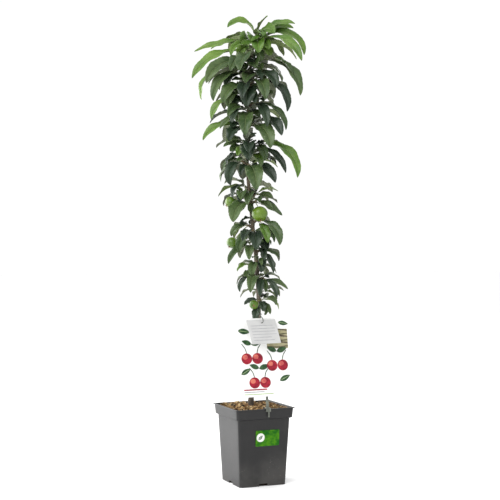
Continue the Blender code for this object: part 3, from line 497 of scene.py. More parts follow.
# The plant's own measures, the same as its solids': millimetres in the rows, metres elsewhere, turns in degrees
plant = {
    "turn": -23.45, "footZ": 0.1985, "topZ": 1.160, "stations": 26, "crowding": 1.25, "plinth": 0.004,
    "sway": ((0.190, -0.0100), (0.450, 0.0145), (0.600, 0.0075), (0.720, -0.0050),
             (0.860, -0.0165), (1.000, -0.0140), (1.100, -0.0085), (1.160, -0.0030)),
    "thickness": ((0.190, 0.0100), (0.210, 0.0078), (0.250, 0.0070), (0.450, 0.0058),
                  (0.800, 0.0046), (1.100, 0.0034), (1.160, 0.0028)),
    "depthSway": 0.005, "depthWave": 0.55,
}
leafRule = {
    "stalk": 0.20, "stations": (0.0, 0.20, 0.34, 0.54, 0.78, 1.0), "steps": 24, "stalkRadius": 0.0010,
    "thickness": 0.014, "leastThickness": 0.0012, "fold": 18.0, "rollRange": 22.0, "frontRoll": 62.0,
    "frontRollRange": 12.0, "gap": 0.0012, "stemRoom": (0.0042, 0.0034), "seed": 6, "tries": 18,
    "handSpread": 26.0, "ruleSpread": 30.0, "tipSpread": 45.0, "start": 0.86, "fan": 48.0, "fanRange": 10.0,
    "sideTurns": (30.0, 150.0), "frontTurn": 270.0, "frontSpread": 50.0, "droopPower": 1.3, "bladePower": 0.8,
    "lengthByHeight": ((0.45, 0.062), (0.70, 0.078), (0.95, 0.105), (1.15, 0.128)),
    "lengthRange": (0.75, 1.08), "riseRange": (5.0, 45.0), "droopRange": (70.0, 115.0), "widthShare": 0.36,
}

# Height, turn, rise, reach, leaves by rule, then a row for each leaf that shows: turn, rise, length, droop
# and width
spurRows = (
    (483, 300, 35, 8, 3, (
        (330, -20, 50, 70, 14), (240, -48, 62, 40, 24), (190, 10, 48, 70, 18), (275, 0, 42, 100, 22))),
    (505, 60, 30, 10, 5, ()),
    (543, 330, 30, 11, 1, (
        (0, -5, 78, 40, 20), (265, 0, 80, 95, 22), (300, -20, 48, 95, 16), (345, -20, 72, 55, 16),
        (315, -5, 84, 85, 20))),
    (549, 230, 35, 13, 2, ((225, 60, 42, 165, 14), (190, -5, 68, 100, 18), (260, 5, 85, 95, 28))),
    (572, 100, 30, 10, 5, ()),
    (589, 280, 30, 9, 1, ((290, 45, 48, 145, 14), (260, -10, 58, 115, 26))),
    (618, 340, 30, 12, 1, ((0, 0, 58, 45, 16), (315, -20, 84, 70, 18))),
    (629, 200, 35, 12, 2, ((210, 0, 92, 80, 22), (265, 10, 75, 105, 26))),
    (645, 75, 30, 10, 6, ()),
    (667, 255, 40, 12, 1, ((220, -10, 82, 95, 28), (280, 0, 85, 95, 38))),
    (697, 330, 35, 13, 2, ((330, 0, 112, 100, 30), (300, -30, 80, 60, 26), (345, -20, 82, 70, 18))),
    (684, 175, 35, 12, 2, ((195, 0, 62, 95, 22),)),
    (748, 320, 30, 14, 1, ((350, 5, 60, 55, 20), (10, 0, 60, 15, 18), (335, -20, 86, 25, 28))),
    (750, 240, 30, 10, 1, ((215, 5, 66, 75, 30), (235, 0, 100, 90, 44), (195, -20, 72, 50, 26))),
    (765, 185, 25, 17, 1, ((190, 70, 32, 50, 16), (250, 20, 50, 110, 26))),
    (766, 20, 35, 13, 2, ((345, 10, 54, 40, 26),)),
    (789, 110, 30, 11, 6, ()),
    (848, 285, 30, 10, 1, ((240, 10, 58, 105, 20), (285, 0, 120, 95, 50), (320, 10, 112, 80, 34))),
    (857, 200, 35, 12, 2, ((165, 30, 68, 105, 24), (225, 0, 100, 125, 30))),
    (876, 80, 30, 11, 6, ()),
    (900, 345, 30, 13, 2, ((345, 15, 185, 115, 34), (330, 0, 132, 75, 24), (315, 10, 78, 120, 28))),
    (905, 262, 30, 9, 1, ((190, 25, 68, 70, 20), (275, 5, 90, 95, 44), (220, -15, 48, 70, 22))),
    (948, 190, 35, 11, 2, ((180, 25, 130, 95, 28), (235, 10, 88, 95, 34))),
    (954, 310, 35, 12, 1, ((325, 25, 128, 110, 40), (305, 5, 130, 95, 46))),
    (984, 90, 30, 11, 6, ()),
    (994, 262, 30, 9, 1, ((220, 35, 100, 115, 26), (190, -10, 92, 50, 24), (265, -5, 115, 90, 42))),
    (1014, 330, 35, 12, 2, ((300, 0, 120, 95, 30), (330, 0, 138, 95, 24))),
    (1033, 190, 35, 12, 2, ((215, 30, 82, 150, 30), (180, 5, 122, 90, 30))),
    (1060, 268, 30, 9, 1, ((265, 0, 105, 95, 50), (240, 0, 118, 95, 42))),
    (1076, 340, 30, 12, 2, ((325, 45, 104, 150, 34), (340, 5, 152, 110, 32), (290, 5, 125, 90, 38))),
    (1098, 170, 30, 12, 3, ((165, 30, 185, 135, 34), (215, 5, 154, 100, 34))),
    (1109, 80, 30, 11, 6, ()),
    (1125, 235, 40, 10, 1, ((205, 10, 155, 85, 42), (240, 20, 118, 95, 34))),
    (1133, 5, 35, 9, 3, ((345, 5, 185, 100, 36),)),
)
spurs = {f"spur_{number:02}": row for number, row in enumerate(spurRows, 1)}
tip = {
    "rise": 76.0, "turn": 0.0, "reach": 0.042, "ruleLeaves": 9, "leafHeight": 1.15, "firstTurn": 25.0,
    "spiral": 137.5, "frontLimit": -0.35, "firstShare": 0.9, "shareRange": 0.8, "radii": (0.0026, 0.0018),
    "leaves": (  # share of the stem at which each starts, then a row as above
        (0.95, 185, 80, 108, 140, 30), (0.98, 325, 78, 70, 55, 26), (0.70, 350, 55, 128, 75, 30),
        (0.50, 15, 60, 132, 85, 28), (0.30, 5, 55, 188, 145, 36), (0.80, 320, 10, 190, 80, 34),
        (0.85, 180, 0, 170, 25, 26), (0.25, 155, 30, 136, 60, 26), (0.10, 190, 5, 195, 70, 38),
        (0.35, 220, 25, 102, 110, 22)),
}
fruit = {
    "rows": (  # spur, turn and distance from the trunk, height, diameter, the way the eye faces
        ("spur_15", 190, 0.053, 0.755, 0.033, 205, -35), ("spur_13", 305, 0.039, 0.723, 0.043, 285, -60),
        ("spur_12", 190, 0.061, 0.646, 0.031, 215, -50), ("spur_01", 245, 0.031, 0.480, 0.025, 268, -10)),
    "sides": 12, "rings": 9, "flatten": 0.94, "dimpleFrom": 0.90, "stalkDimple": 0.22, "eyeDimple": 0.10,
    "stalkRadii": (0.0012, 0.0010), "stalkOverlap": 0.002, "stalkEnd": 0.30,
}


def byHeight(rows, height):
    value = np.interp(height, *zip(*rows))
    return value if np.ndim(value) else float(value)


# The trunk's middle at each height: a smooth curve through the sways, with a slow sine wave in depth
def axisPoints(heights):
    levels, sways = np.array(plant["sway"]).T
    heights = np.clip(np.atleast_1d(np.asarray(heights, float)), levels[0], levels[-1])
    k = np.minimum(np.searchsorted(levels, heights, side="right") - 1, len(levels) - 2)
    span = levels[k + 1] - levels[k]
    t = (heights - levels[k]) / span
    slope = np.gradient(sways, levels)
    side = ((2 * t ** 3 - 3 * t ** 2 + 1) * sways[k] + (t ** 3 - 2 * t ** 2 + t) * span * slope[k]
            + (3 * t ** 2 - 2 * t ** 3) * sways[k + 1] + (t ** 3 - t ** 2) * span * slope[k + 1])
    depth = plant["depthSway"] * np.sin(2 * pi * (heights - levels[0]) / plant["depthWave"])
    c, s = cos(radians(plant["turn"])), sin(radians(plant["turn"]))
    return np.stack((side * c - depth * s, side * s + depth * c, heights), 1)


def axisAt(height):
    return Vector(axisPoints(height)[0])


def aim(turned, rise):
    turned, rise = radians(turned + plant["turn"]), radians(rise)
    return Vector((cos(rise) * cos(turned), cos(rise) * sin(turned), sin(rise)))


# The midrib of a leaf in even steps: it rises by its rise less its droop times a power of the share along it
def leafSpine(rise, length, droop, heading, steps):
    share = (np.arange(steps) + 0.5) / steps
    lift = radians(rise) - radians(droop) * share ** leafRule["droopPower"]
    along = np.stack((np.cos(lift) * cos(heading), np.cos(lift) * sin(heading), np.sin(lift)), 1)
    return np.vstack(((0, 0, 0), np.cumsum(along, 0))) * length / steps, along


def pointsAlong(rows, places):
    return np.stack([np.interp(places, np.arange(len(rows)), column) for column in rows.T], 1)


# Middle, side and face of the blade at shares along the leaf, rolled by the root of the blade's share
def leafFrame(rise, length, droop, turned, roll, stations, blade, steps):
    heading = radians(turned + plant["turn"])
    spine, along = leafSpine(rise, length, droop, heading, steps)
    middle = pointsAlong(spine, stations * steps)
    tangent = unit(pointsAlong(along, stations * steps - 0.5))
    side = np.tile((-sin(heading), cos(heading), 0.0), (len(stations), 1))
    face = np.cross(tangent, side)
    twist = radians(roll) * np.sqrt(blade)[:, None]
    side, face = side * np.cos(twist) + face * np.sin(twist), face * np.cos(twist) - side * np.sin(twist)
    return middle, tangent, side, face


# The plain leaf that room is kept for: rings of four points, left, upper, right and lower
def plainLeaf(root, turned, rise, length, droop, width, roll, swell=0.0):
    stations = np.array(leafRule["stations"])
    blade = np.clip((stations - leafRule["stalk"]) / (1 - leafRule["stalk"]), 0, 1)
    radius, power = leafRule["stalkRadius"], leafRule["bladePower"]
    half = np.maximum(np.sin(pi * blade ** power) ** power * width / 2, radius) + swell
    thickness = max(leafRule["thickness"] * length, leafRule["leastThickness"])
    thick = np.where(blade > 0, thickness / 2, radius) + swell
    lifted = np.where(blade > 0, half * np.tan(radians(leafRule["fold"])), 0)
    middle, tangent, side, face = leafFrame(
        rise, length, droop, turned, roll, stations, blade, leafRule["steps"])
    left = middle + side * half[:, None] + face * lifted[:, None]
    right = middle - side * half[:, None] + face * lifted[:, None]
    rings = np.stack((left, middle + face * thick[:, None], right, middle - face * thick[:, None]), 1)[:-1]
    points = [Vector(p) + root for ring in rings for p in ring]
    points.append(Vector(middle[-1] + tangent[-1] * swell) + root)
    faces = [(0, 1, 2), (0, 2, 3)]
    for ring in range(len(rings) - 1):
        for k in range(4):
            a, b = 4 * ring + k, 4 * ring + (k + 1) % 4
            faces += [(a, a + 4, b), (b, a + 4, b + 4)] if k < 2 else [(a, a + 4, b + 4), (a, b + 4, b)]
    last = 4 * (len(rings) - 1)
    faces += [(last + k, len(points) - 1, last + (k + 1) % 4) for k in range(4)]
    return points, faces


def bladeOnly(body):
    return body[0][4:], [tuple(k - 4 for k in face) for face in body[1] if min(face) >= 4]


def bodyOf(bm):
    body = [v.co.copy() for v in bm.verts], [tuple(v.index for v in f.verts) for f in bm.faces]
    bm.free()
    return body


def coneGuide(start, end, radii, sides):
    run = end - start
    bm = bmesh.new()
    bmesh.ops.create_cone(bm, cap_ends=True, cap_tris=True, segments=sides, radius1=radii[0],
                          radius2=radii[1], depth=run.length)
    bm.transform(Matrix.Translation((start + end) / 2) @ run.to_track_quat("Z", "Y").to_matrix().to_4x4())
    return bodyOf(bm)


def fruitGuide(centre, diameter, eyeWay):
    bm = bmesh.new()
    bmesh.ops.create_uvsphere(bm, u_segments=fruit["sides"], v_segments=fruit["rings"], radius=diameter / 2)
    for spot in bm.verts:
        height = spot.co.z / (diameter / 2)
        nearStalk = max(0.0, height - fruit["dimpleFrom"]) / (1 - fruit["dimpleFrom"])
        nearEye = max(0.0, -height - fruit["dimpleFrom"]) / (1 - fruit["dimpleFrom"])
        spot.co *= 1 - fruit["stalkDimple"] * nearStalk - fruit["eyeDimple"] * nearEye
        spot.co.z *= fruit["flatten"]
    bmesh.ops.triangulate(bm, faces=bm.faces)
    bm.transform(Matrix.Translation(centre) @ (-eyeWay).to_track_quat("Z", "Y").to_matrix().to_4x4())
    return bodyOf(bm)


# Room taken so far: a search tree and a box for each whole piece, and a tree for its blade
class Growth:
    def __init__(self):
        self.dice = Random(leafRule["seed"])
        self.taken = []
        self.leaves = []

    def claim(self, mass, whole, blade=None):
        bladeTree = BVHTree.FromPolygons(*blade) if blade else None
        box = np.min(whole[0], 0), np.max(whole[0], 0)
        self.taken.append((mass, BVHTree.FromPolygons(*whole), bladeTree, *box))

    def isFree(self, mass, probe):
        low, high = np.min(probe[0], 0), np.max(probe[0], 0)
        whole, blade = BVHTree.FromPolygons(*probe), BVHTree.FromPolygons(*bladeOnly(probe))
        for owner, takenWhole, takenBlade, takenLow, takenHigh in self.taken:
            if (low > takenHigh).any() or (high < takenLow).any():
                continue
            if owner == mass:
                meets = takenBlade and blade.overlap(takenBlade)
            else:
                meets = (blade if owner == "trunk" else whole).overlap(takenWhole)
            if meets:
                return False
        return True

    # Tries the leaf a little turned and lifted until it is free
    def place(self, mass, root, row, spread, rollMiddle=0.0, rollRange=leafRule["rollRange"], kind="rule",
              tries=leafRule["tries"]):
        turned, rise, length, droop, width = row
        for number in range(tries):
            loosened = spread * number / tries
            roll = rollMiddle + self.dice.uniform(-rollRange, rollRange)
            newTurn = turned + self.dice.uniform(-loosened, loosened)
            newRise = rise + self.dice.uniform(-loosened, loosened) * 0.5
            shape = (root, newTurn, newRise, length * milli, droop, width * milli, roll)
            if self.isFree(mass, plainLeaf(*shape, swell=leafRule["gap"])):
                body = plainLeaf(*shape)
                self.claim(mass, body, bladeOnly(body))
                self.leaves.append((mass, kind, shape))
                return


def ruleLeaf(dice, height, turned):
    length = byHeight(leafRule["lengthByHeight"], height) * dice.uniform(*leafRule["lengthRange"]) / milli
    rise = dice.uniform(*leafRule["riseRange"])
    return turned, rise, length, dice.uniform(*leafRule["droopRange"]), length * leafRule["widthShare"]


def spurStem(name):
    height, turned, rise, reach, *_ = spurs[name]
    foot = axisAt(height * milli)
    return foot, foot + aim(turned, rise) * (byHeight(plant["thickness"], height * milli) + reach * milli)


def leafRoot(stem):
    return stem[0].lerp(stem[1], leafRule["start"])


def tipRoot(share):
    return axisAt(plant["topZ"]) + aim(tip["turn"], tip["rise"]) * (tip["reach"] * share + clear)


def fruitPlace(row):
    _, turned, distance, height, _, eyeTurn, eyeRise = row
    centre = axisAt(height)
    centre = Vector((centre.x, centre.y, 0)) + aim(turned, 0) * distance
    centre.z = height
    return centre, aim(eyeTurn, eyeRise)


def stalkFoot(stem):
    return stem[1] - (stem[1] - stem[0]).normalized() * fruit["stalkOverlap"]


def trunkGuide():
    foot = plant["footZ"] + clear
    stations = plant["stations"]
    shares = [(n / (stations - 1)) ** plant["crowding"] for n in range(stations)]
    levels = [foot + (plant["topZ"] - foot) * share for share in shares]
    levels.insert(1, foot + plant["plinth"])
    points = axisPoints(levels)
    points[0, :2] = points[1, :2]
    points, quads, tris = sweep(points, byHeight(plant["thickness"], levels), (1.0, 0.0, 0.0), 8)
    return [Vector(p) for p in points], [tuple(map(int, f)) for f in (*quads, *tris)]


# The same leaves as the solids have, in the same order: stems and fruit, then the rows by width, then by rule
def growPlant():
    growth = Growth()
    dice = growth.dice
    growth.claim("trunk", trunkGuide())
    stems = {"crown_tip": (tipRoot(0.0), tipRoot(1.0)), **{name: spurStem(name) for name in spurs}}
    for name, stem in stems.items():
        growth.claim(name, coneGuide(*stem, leafRule["stemRoom"], 6))
    for row in fruit["rows"]:
        centre, eyeWay = fruitPlace(row)
        body = fruitGuide(centre, row[4] + 2 * leafRule["gap"], eyeWay)
        growth.claim(row[0], body, body)
        end = centre - eyeWay * row[4] * fruit["stalkEnd"]
        growth.claim(row[0], coneGuide(stalkFoot(stems[row[0]]), end, fruit["stalkRadii"], 4))
    plan = [("crown_tip", tipRoot(share), row) for share, *row in tip["leaves"]]
    plan += [(name, leafRoot(stems[name]), row) for name in spurs for row in spurs[name][5]]
    plan.sort(key=lambda leaf: -leaf[2][4])
    for name, root, row in plan:
        facing = leafRule["frontRoll"] * cos(radians(row[0]))
        growth.place(name, root, row, leafRule["handSpread"], facing, leafRule["frontRollRange"], "shown")
    for number in range(tip["ruleLeaves"]):
        turned = tip["firstTurn"] + tip["spiral"] * number
        turned = -turned if sin(radians(turned)) < tip["frontLimit"] else turned
        share = tip["firstShare"] - tip["shareRange"] * number / tip["ruleLeaves"]
        leaf = ruleLeaf(dice, tip["leafHeight"], turned)
        growth.place("crown_tip", tipRoot(share), leaf, leafRule["tipSpread"])
    for name in reversed(spurs):
        height, turned, _, _, extra, rows = spurs[name]
        side = turned if not rows else leafRule["sideTurns"][cos(radians(turned)) <= 0]
        angles = [side + (number - (extra - 1) / 2) * leafRule["fan"] for number in range(extra)]
        if rows:
            spread = leafRule["frontSpread"]
            angles.insert(0, leafRule["frontTurn"] + dice.uniform(-spread, spread))
        for angle in angles:
            angle += dice.uniform(-leafRule["fanRange"], leafRule["fanRange"])
            leaf = ruleLeaf(dice, height * milli, angle)
            growth.place(name, leafRoot(stems[name]), leaf, leafRule["ruleSpread"])
    print("plant regrown with", len(growth.leaves), "leaves")
    return growth, stems


# Smaller leaves that fill the crown within the same reach: how many a spur bears at each height, and how long
filling = {
    "count": ((0.45, 3), (0.62, 3), (0.80, 4), (0.92, 11), (1.16, 22)), "tip": 28, "tipShares": (0.2, 0.95),
    "length": (0.38, 0.70), "width": (0.46, 0.62), "rise": (-25.0, 60.0), "droop": (55.0, 130.0), "roll": 20.0,
    "tries": 12, "spread": 70.0, "front": 80.0,
}


def fillCrown():
    dice = growth.dice
    front = filling["front"]
    for name, (foot, end) in stems.items():
        isTip = name == "crown_tip"
        height = tip["leafHeight"] if isTip else spurs[name][0] * milli
        full = byHeight(leafRule["lengthByHeight"], height) / milli
        for number in range(filling["tip"] if isTip else int(byHeight(filling["count"], height))):
            towards = (leafRule["frontTurn"] + dice.uniform(-front, front) if number % 3
                       else dice.uniform(0, 360))
            length = full * dice.uniform(*filling["length"])
            row = (towards, dice.uniform(*filling["rise"]), length, dice.uniform(*filling["droop"]),
                   length * dice.uniform(*filling["width"]))
            root = foot.lerp(end, dice.uniform(*filling["tipShares"]) if isTip else leafRule["start"])
            facing = leafRule["frontRoll"] * cos(radians(towards))
            growth.place(name, root, row, filling["spread"], facing, filling["roll"], "fill", filling["tries"])
    print("crown filled to", len(growth.leaves), "leaves")


# Fine leaves: rows along the blade, columns across its upper side, teeth, side veins, waves of the margin
blade = {
    "rows": 37, "steps": 72, "columns": (1.0, 0.8, 0.52, 0.22, 0.0, -0.22, -0.52, -0.8, -1.0),
    "roundness": 0.66, "leastHalf": 0.0007, "teeth": 12, "toothDepth": 0.075, "veins": 7, "slant": 1.5,
    "pucker": 0.00055, "cup": 0.12, "foldPower": 1.1, "wave": 0.17, "waves": (1.6, 3.2),
    "waveRange": (0.5, 1.3), "thickness": 0.0007, "thin": 0.85, "thickFrom": 0.004, "rib": 0.0011, "ribWidth": 0.16, "ribFrom": 0.003, "groove": 0.0004,
}
stalk = {"sides": 7, "rows": 9, "overlap": 1.12, "shares": (0, 0.12, 0.5, 1),
         "radii": (0.0017, 0.0012, 0.0009, 0.0007)}


# A closed sleeve round the leaf. Half width: a power of a sine, cut into forward teeth. Height: the fold times
# the distance from the midrib, plus puckers between the side veins, plus waves that grow towards the margin
def fineLeaf(shape, dice):
    root, turned, rise, length, droop, width, roll = shape
    share = np.linspace(0, 1, blade["rows"])
    stations = leafRule["stalk"] + (1 - leafRule["stalk"]) * share
    middle, _, side, face = leafFrame(rise, length, droop, turned, roll, stations, share, blade["steps"])
    teeth = 1 - blade["toothDepth"] * (1 - (share * blade["teeth"]) % 1.0)
    half = np.sin(pi * share ** leafRule["bladePower"]) ** blade["roundness"] * width / 2 * teeth
    half, share = np.maximum(half, blade["leastHalf"])[:, None], share[:, None]
    c = np.array(blade["columns"])[None, :]
    out = np.abs(c)
    waves = dice.uniform(*blade["waves"])
    phases = np.where(c > 0, dice.uniform(0, 1), dice.uniform(0, 1))
    slope = np.tan(radians(leafRule["fold"])) * out ** blade["foldPower"]
    fold = half * (slope + blade["cup"] * np.sin(pi * out))
    puckers = np.sin(2 * pi * (blade["veins"] * share - blade["slant"] * out)) * np.sin(pi * out)
    ripples = half * dice.uniform(*blade["waveRange"]) * out ** 3 * np.sin(2 * pi * (waves * share + phases))
    height = fold + blade["pucker"] * puckers + blade["wave"] * ripples
    near = np.exp(-(c / blade["ribWidth"]) ** 2) * (1 - share)
    thick = blade["thickness"] * (1 - blade["thin"] * out ** 2) * np.minimum(1, half / blade["thickFrom"])
    lower = height - thick - near * blade["rib"] * np.minimum(1, half / blade["ribFrom"])
    flat = middle[:, None] + side[:, None] * (half * c)[..., None]
    top = flat + face[:, None] * (height - blade["groove"] * near)[..., None]
    under = flat + face[:, None] * lower[..., None]
    rings = np.concatenate((top, under[:, -2:0:-1]), 1) + np.array(root)
    around = np.concatenate((c[0], c[0][-2:0:-1]))
    uv = np.stack(np.broadcast_arrays(share, (around[None] + 1) / 2), -1).reshape(-1, 2)
    finish = np.tile(np.arange(len(around)) >= c.size - 1, blade["rows"] - 1)
    return sleeve(rings), finish, np.vstack((uv, (0.0, 0.5), (1.0, 0.5)))


# The leaf's stalk, thick at its foot and let a little way into the blade
def leafStalk(shape):
    root, turned, rise, length, droop, _, _ = shape
    heading = radians(turned + plant["turn"])
    spine, _ = leafSpine(rise, length, droop, heading, blade["steps"])
    share = np.linspace(0, 1, stalk["rows"])
    path = pointsAlong(spine, share * leafRule["stalk"] * stalk["overlap"] * blade["steps"]) + np.array(root)
    radii = np.interp(share, stalk["shares"], stalk["radii"])
    return sweep(path, radii, (-sin(heading), cos(heading), 0.0), stalk["sides"])


# Midrib and side veins follow the leaf's own map: along the blade is x, across it is y
def leafFinish(name, dark, light, vein, roughness, veinShare, relief):
    f = Finish(name, dark, roughness, Specular_IOR_Level=0.36)
    spot = f.parts(f.coordinates("UV"))
    out = (spot.output("Y") * 2.0 - 1.0).size()
    rib = 1 - out.between(0.02, 0.10)
    lateral = ((spot.output("X") * blade["veins"] - out * blade["slant"]).fraction() - 0.5).size() * 2.0
    sideVeins = lateral.between(0.80, 0.98) * (1 - out * 0.7)
    veins = rib.highest(sideVeins * 0.6).highest(out.between(0.90, 1.0) * 0.8)
    mottle = f.noise(130.0, 4.0, 0.65)
    base = f.mix((f.noise(11.0) * 0.7 + mottle * 0.3).between(0.36, 0.64), dark, light)
    f.colour(f.mix(veins * veinShare, base, vein))
    f.rough(roughness + mottle * 0.14 - 0.07)
    f.bump(mottle * 0.35 - veins * relief, 0.0006)
    return f


leafKinds = {  # dark and light of the upper side, veins, dark and light of the under side
    "youngAndLit": ((0.046, 0.112, 0.009), (0.108, 0.190, 0.024), (0.23, 0.31, 0.11),
              (0.115, 0.160, 0.052), (0.200, 0.245, 0.105)),
    "mid": ((0.022, 0.050, 0.012), (0.060, 0.098, 0.028), (0.15, 0.19, 0.085),
            (0.110, 0.130, 0.075), (0.190, 0.205, 0.135)),
    "matureAndShaded": ((0.0060, 0.0160, 0.0075), (0.0180, 0.0360, 0.0160), (0.060, 0.082, 0.048),
               (0.085, 0.102, 0.064), (0.150, 0.165, 0.115)),
}
kindByHeight = {  # shares of young and lit leaves and of mid leaves by height; the rest are mature and shaded
    "youngAndLit": ((0.5, 0.04), (0.95, 0.04), (1.08, 0.08), (1.14, 0.28), (1.18, 0.95)),
    "mid": ((0.5, 0.56), (0.80, 0.64), (0.95, 0.50), (1.08, 0.58), (1.16, 0.60)),
}


# Kinds are dealt out leaf by leaf, by height and by chance, with painted light and shade: leaves that reach out to the
# sides are pushed towards the lighter kinds, and filling leaves and those that face front and back towards the darker
# ones
def makeLeaves():
    dice = Random(21)
    heaps = {kind: [Heap()] for kind in leafKinds}
    stalks = Heap()
    for mass, origin, shape in growth.leaves:
        youngAndLit, mid = (byHeight(kindByHeight[kind], shape[0].z) for kind in ("youngAndLit", "mid"))
        away = abs(cos(radians(shape[1])))
        # painted light and shade: sideways leaves are drawn lighter, filling leaves and those facing front and back
        # are drawn darker
        draw = dice.random() + 0.2 * (away < 0.6) + 0.1 * (origin == "fill") - 0.15 * (away > 0.75)
        kind = "youngAndLit" if draw < youngAndLit else "mid" if draw < youngAndLit + mid else "matureAndShaded"
        if heaps[kind][-1].triangles > maxTriangles:
            heaps[kind].append(Heap())
        heaps[kind][-1].add(*fineLeaf(shape, dice), mass)
        stalks.add(leafStalk(shape), mass=mass)
    for kind, (dark, light, vein, underDark, underLight) in leafKinds.items():
        finishes = [leafFinish(kind + "Upper", dark, light, vein, 0.42, 0.55, 0.9),
                    leafFinish(kind + "Under", underDark, underLight, vein, 0.70, 0.45, -0.8)]
        for number, heap in enumerate(heaps[kind], 1):
            makePiece(f"{kind}Leaves_{number}", heap, finishes, sorted(heap.masses), 55.0)
            print(kind, "leaves:", heap.triangles, "triangles")
    stalkFinish = crumbly("leafStalk", (0.10, 0.125, 0.045), (0.20, 0.21, 0.10), 180.0, 0.55)
    makePiece("leafStalks", stalks, [stalkFinish], sorted(stalks.masses))


# Bark: ridges along the stem, fine cracks, corky spots, swellings where the spurs stand, and a flared foot
bark = {"levels": 420, "crowding": 1.12, "sides": 44, "ridge": 0.00045, "crack": 0.00035, "spot": 0.0004,
        "swelling": 0.0015, "swellingLength": 0.0065, "flare": 0.0040, "flareLength": 0.010, "sharp": 60.0}


def barkFinish(name, low, high, pale, grain):
    f = Finish(name, low, 0.85)
    height = f.height()
    along = f.noise(1.0, 5.0, 0.65, (grain, grain, grain * 0.22))
    fine = f.noise(grain * 3.0, 4.0, 0.6)
    base = f.mix(height.between(0.35, 1.05), low, high)
    base = f.mix(height.between(0.20, 0.28), (0.040, 0.029, 0.020), base)
    shade = f.mix(along.between(0.36, 0.62), (0.035, 0.026, 0.018), base)
    spots = (1 - f.cells(330.0).between(0.16, 0.30)) * f.noise(60.0, 2.0).between(0.52, 0.6)
    f.colour(f.mix(spots * 0.75 + fine.between(0.60, 0.8) * 0.35, shade, pale))
    f.bump(along + fine * 0.5 + spots, 0.0007)
    return f


def makeTrunk():
    foot = plant["footZ"] + clear
    levels = foot + (plant["topZ"] - foot) * np.linspace(0, 1, bark["levels"]) ** bark["crowding"]
    u, v = np.meshgrid(np.arange(bark["sides"]) / bark["sides"], levels)
    relief = bark["ridge"] * roughness2d(u * 9, v * 60, 9, 1)
    relief += bark["crack"] * roughness2d(u * 22, v * 210, 22, 2)
    relief += bark["spot"] * np.clip(roughness2d(u * 14, v * 330, 14, 4) - 0.45, 0, 1) * 2
    relief += bark["flare"] * np.exp(-(v - foot) / bark["flareLength"]) * (1 + 0.35 * np.cos(2 * pi * 3 * u))
    for height, turned, *_ in spurs.values():
        facing = (0.5 + 0.5 * np.cos(2 * pi * u - radians(turned + plant["turn"]))) ** 2
        relief += bark["swelling"] * np.exp(-((v - height * milli) / bark["swellingLength"]) ** 2) * facing
    radii = byHeight(plant["thickness"], levels)
    body = sweep(axisPoints(levels), radii, (1.0, 0.0, 0.0), bark["sides"], relief=relief)
    finish = barkFinish("trunkBark", (0.150, 0.130, 0.100), (0.110, 0.078, 0.046), (0.34, 0.30, 0.23), 150.0)
    makePiece("trunkBark", Heap(body), [finish], ["trunk"], bark["sharp"])


# Spurs: short wrinkled wood with ring scars, ending in plump buds; the tip is a smooth green shoot
spurWood = {
    "sides": 14, "rows": 22, "shares": (0, 0.45, 0.9, 1), "radii": (0.0046, 0.0036, 0.0030, 0.0012),
    "bend": 0.0012, "rings": 5, "scar": 0.0005, "lump": 0.0006, "buds": 3, "budSpread": 0.8, "budShares": (0.80, 0.96),
    "budLengths": (0.6, 1.1), "budLength": 0.0075, "budRadius": 0.0019,
}
shoot = {
    "sides": 12, "rows": 40, "from": -0.06, "endRadius": 0.0006, "lump": 0.0003, "buds": 5, "budSpread": 0.45,
    "budLength": (0.008, 0.013), "budRadius": 0.0018,
}


# A bud: a sleeve whose radius is a sine raised to a power, plump at the foot and pointed at the top
def bud(start, way, length, radius):
    share = np.linspace(0.04, 1, 9)
    path = np.array(start) + share[:, None] * length * np.array(way)
    return sweep(path, radius * np.sin(pi * share ** 0.7) ** 0.8 + 0.00008, tuple(way.orthogonal()), 8)


def scattered(dice, way, spread):
    return (way + Vector([dice.uniform(-spread, spread) for _ in range(3)])).normalized()


def makeSpurs():
    dice = Random(8)
    wood, buds = Heap(), Heap()
    share = np.linspace(0, 1, spurWood["rows"])
    radii = np.interp(share, spurWood["shares"], spurWood["radii"])
    u, v = np.meshgrid(np.arange(spurWood["sides"]) / spurWood["sides"], share)
    for name in spurs:
        foot, end = stems[name]
        way = (end - foot).normalized()
        upwards = np.array(Vector((0, 0, 1)) - way * way.z)
        path = np.array(foot) + share[:, None] * np.array(end - foot)
        path = path + np.sin(pi * share)[:, None] * upwards * spurWood["bend"]
        relief = np.abs(np.sin(pi * spurWood["rings"] * v + dice.random())) * spurWood["scar"]
        relief += spurWood["lump"] * roughness2d(u * 5, v * 7 + dice.random() * 40, 5, 6)
        wood.add(sweep(path, radii, tuple(way.orthogonal()), spurWood["sides"], relief=relief), mass=name)
        for _ in range(spurWood["buds"]):
            out = scattered(dice, way, spurWood["budSpread"])
            start = foot.lerp(end, dice.uniform(*spurWood["budShares"]))
            length = spurWood["budLength"] * dice.uniform(*spurWood["budLengths"])
            buds.add(bud(start, out, length, spurWood["budRadius"]), mass=name)
    woody = barkFinish("spurWood", (0.130, 0.100, 0.066), (0.150, 0.112, 0.066), (0.34, 0.28, 0.19), 220.0)
    scaly = crumbly("budScale", (0.14, 0.075, 0.042), (0.30, 0.21, 0.13), 420.0, 0.7)
    for name, heap, finish in (("spurWood", wood, woody), ("buds", buds, scaly)):
        makePiece(name, heap, [finish], sorted(heap.masses), bark["sharp"])
    makeShoot(dice)


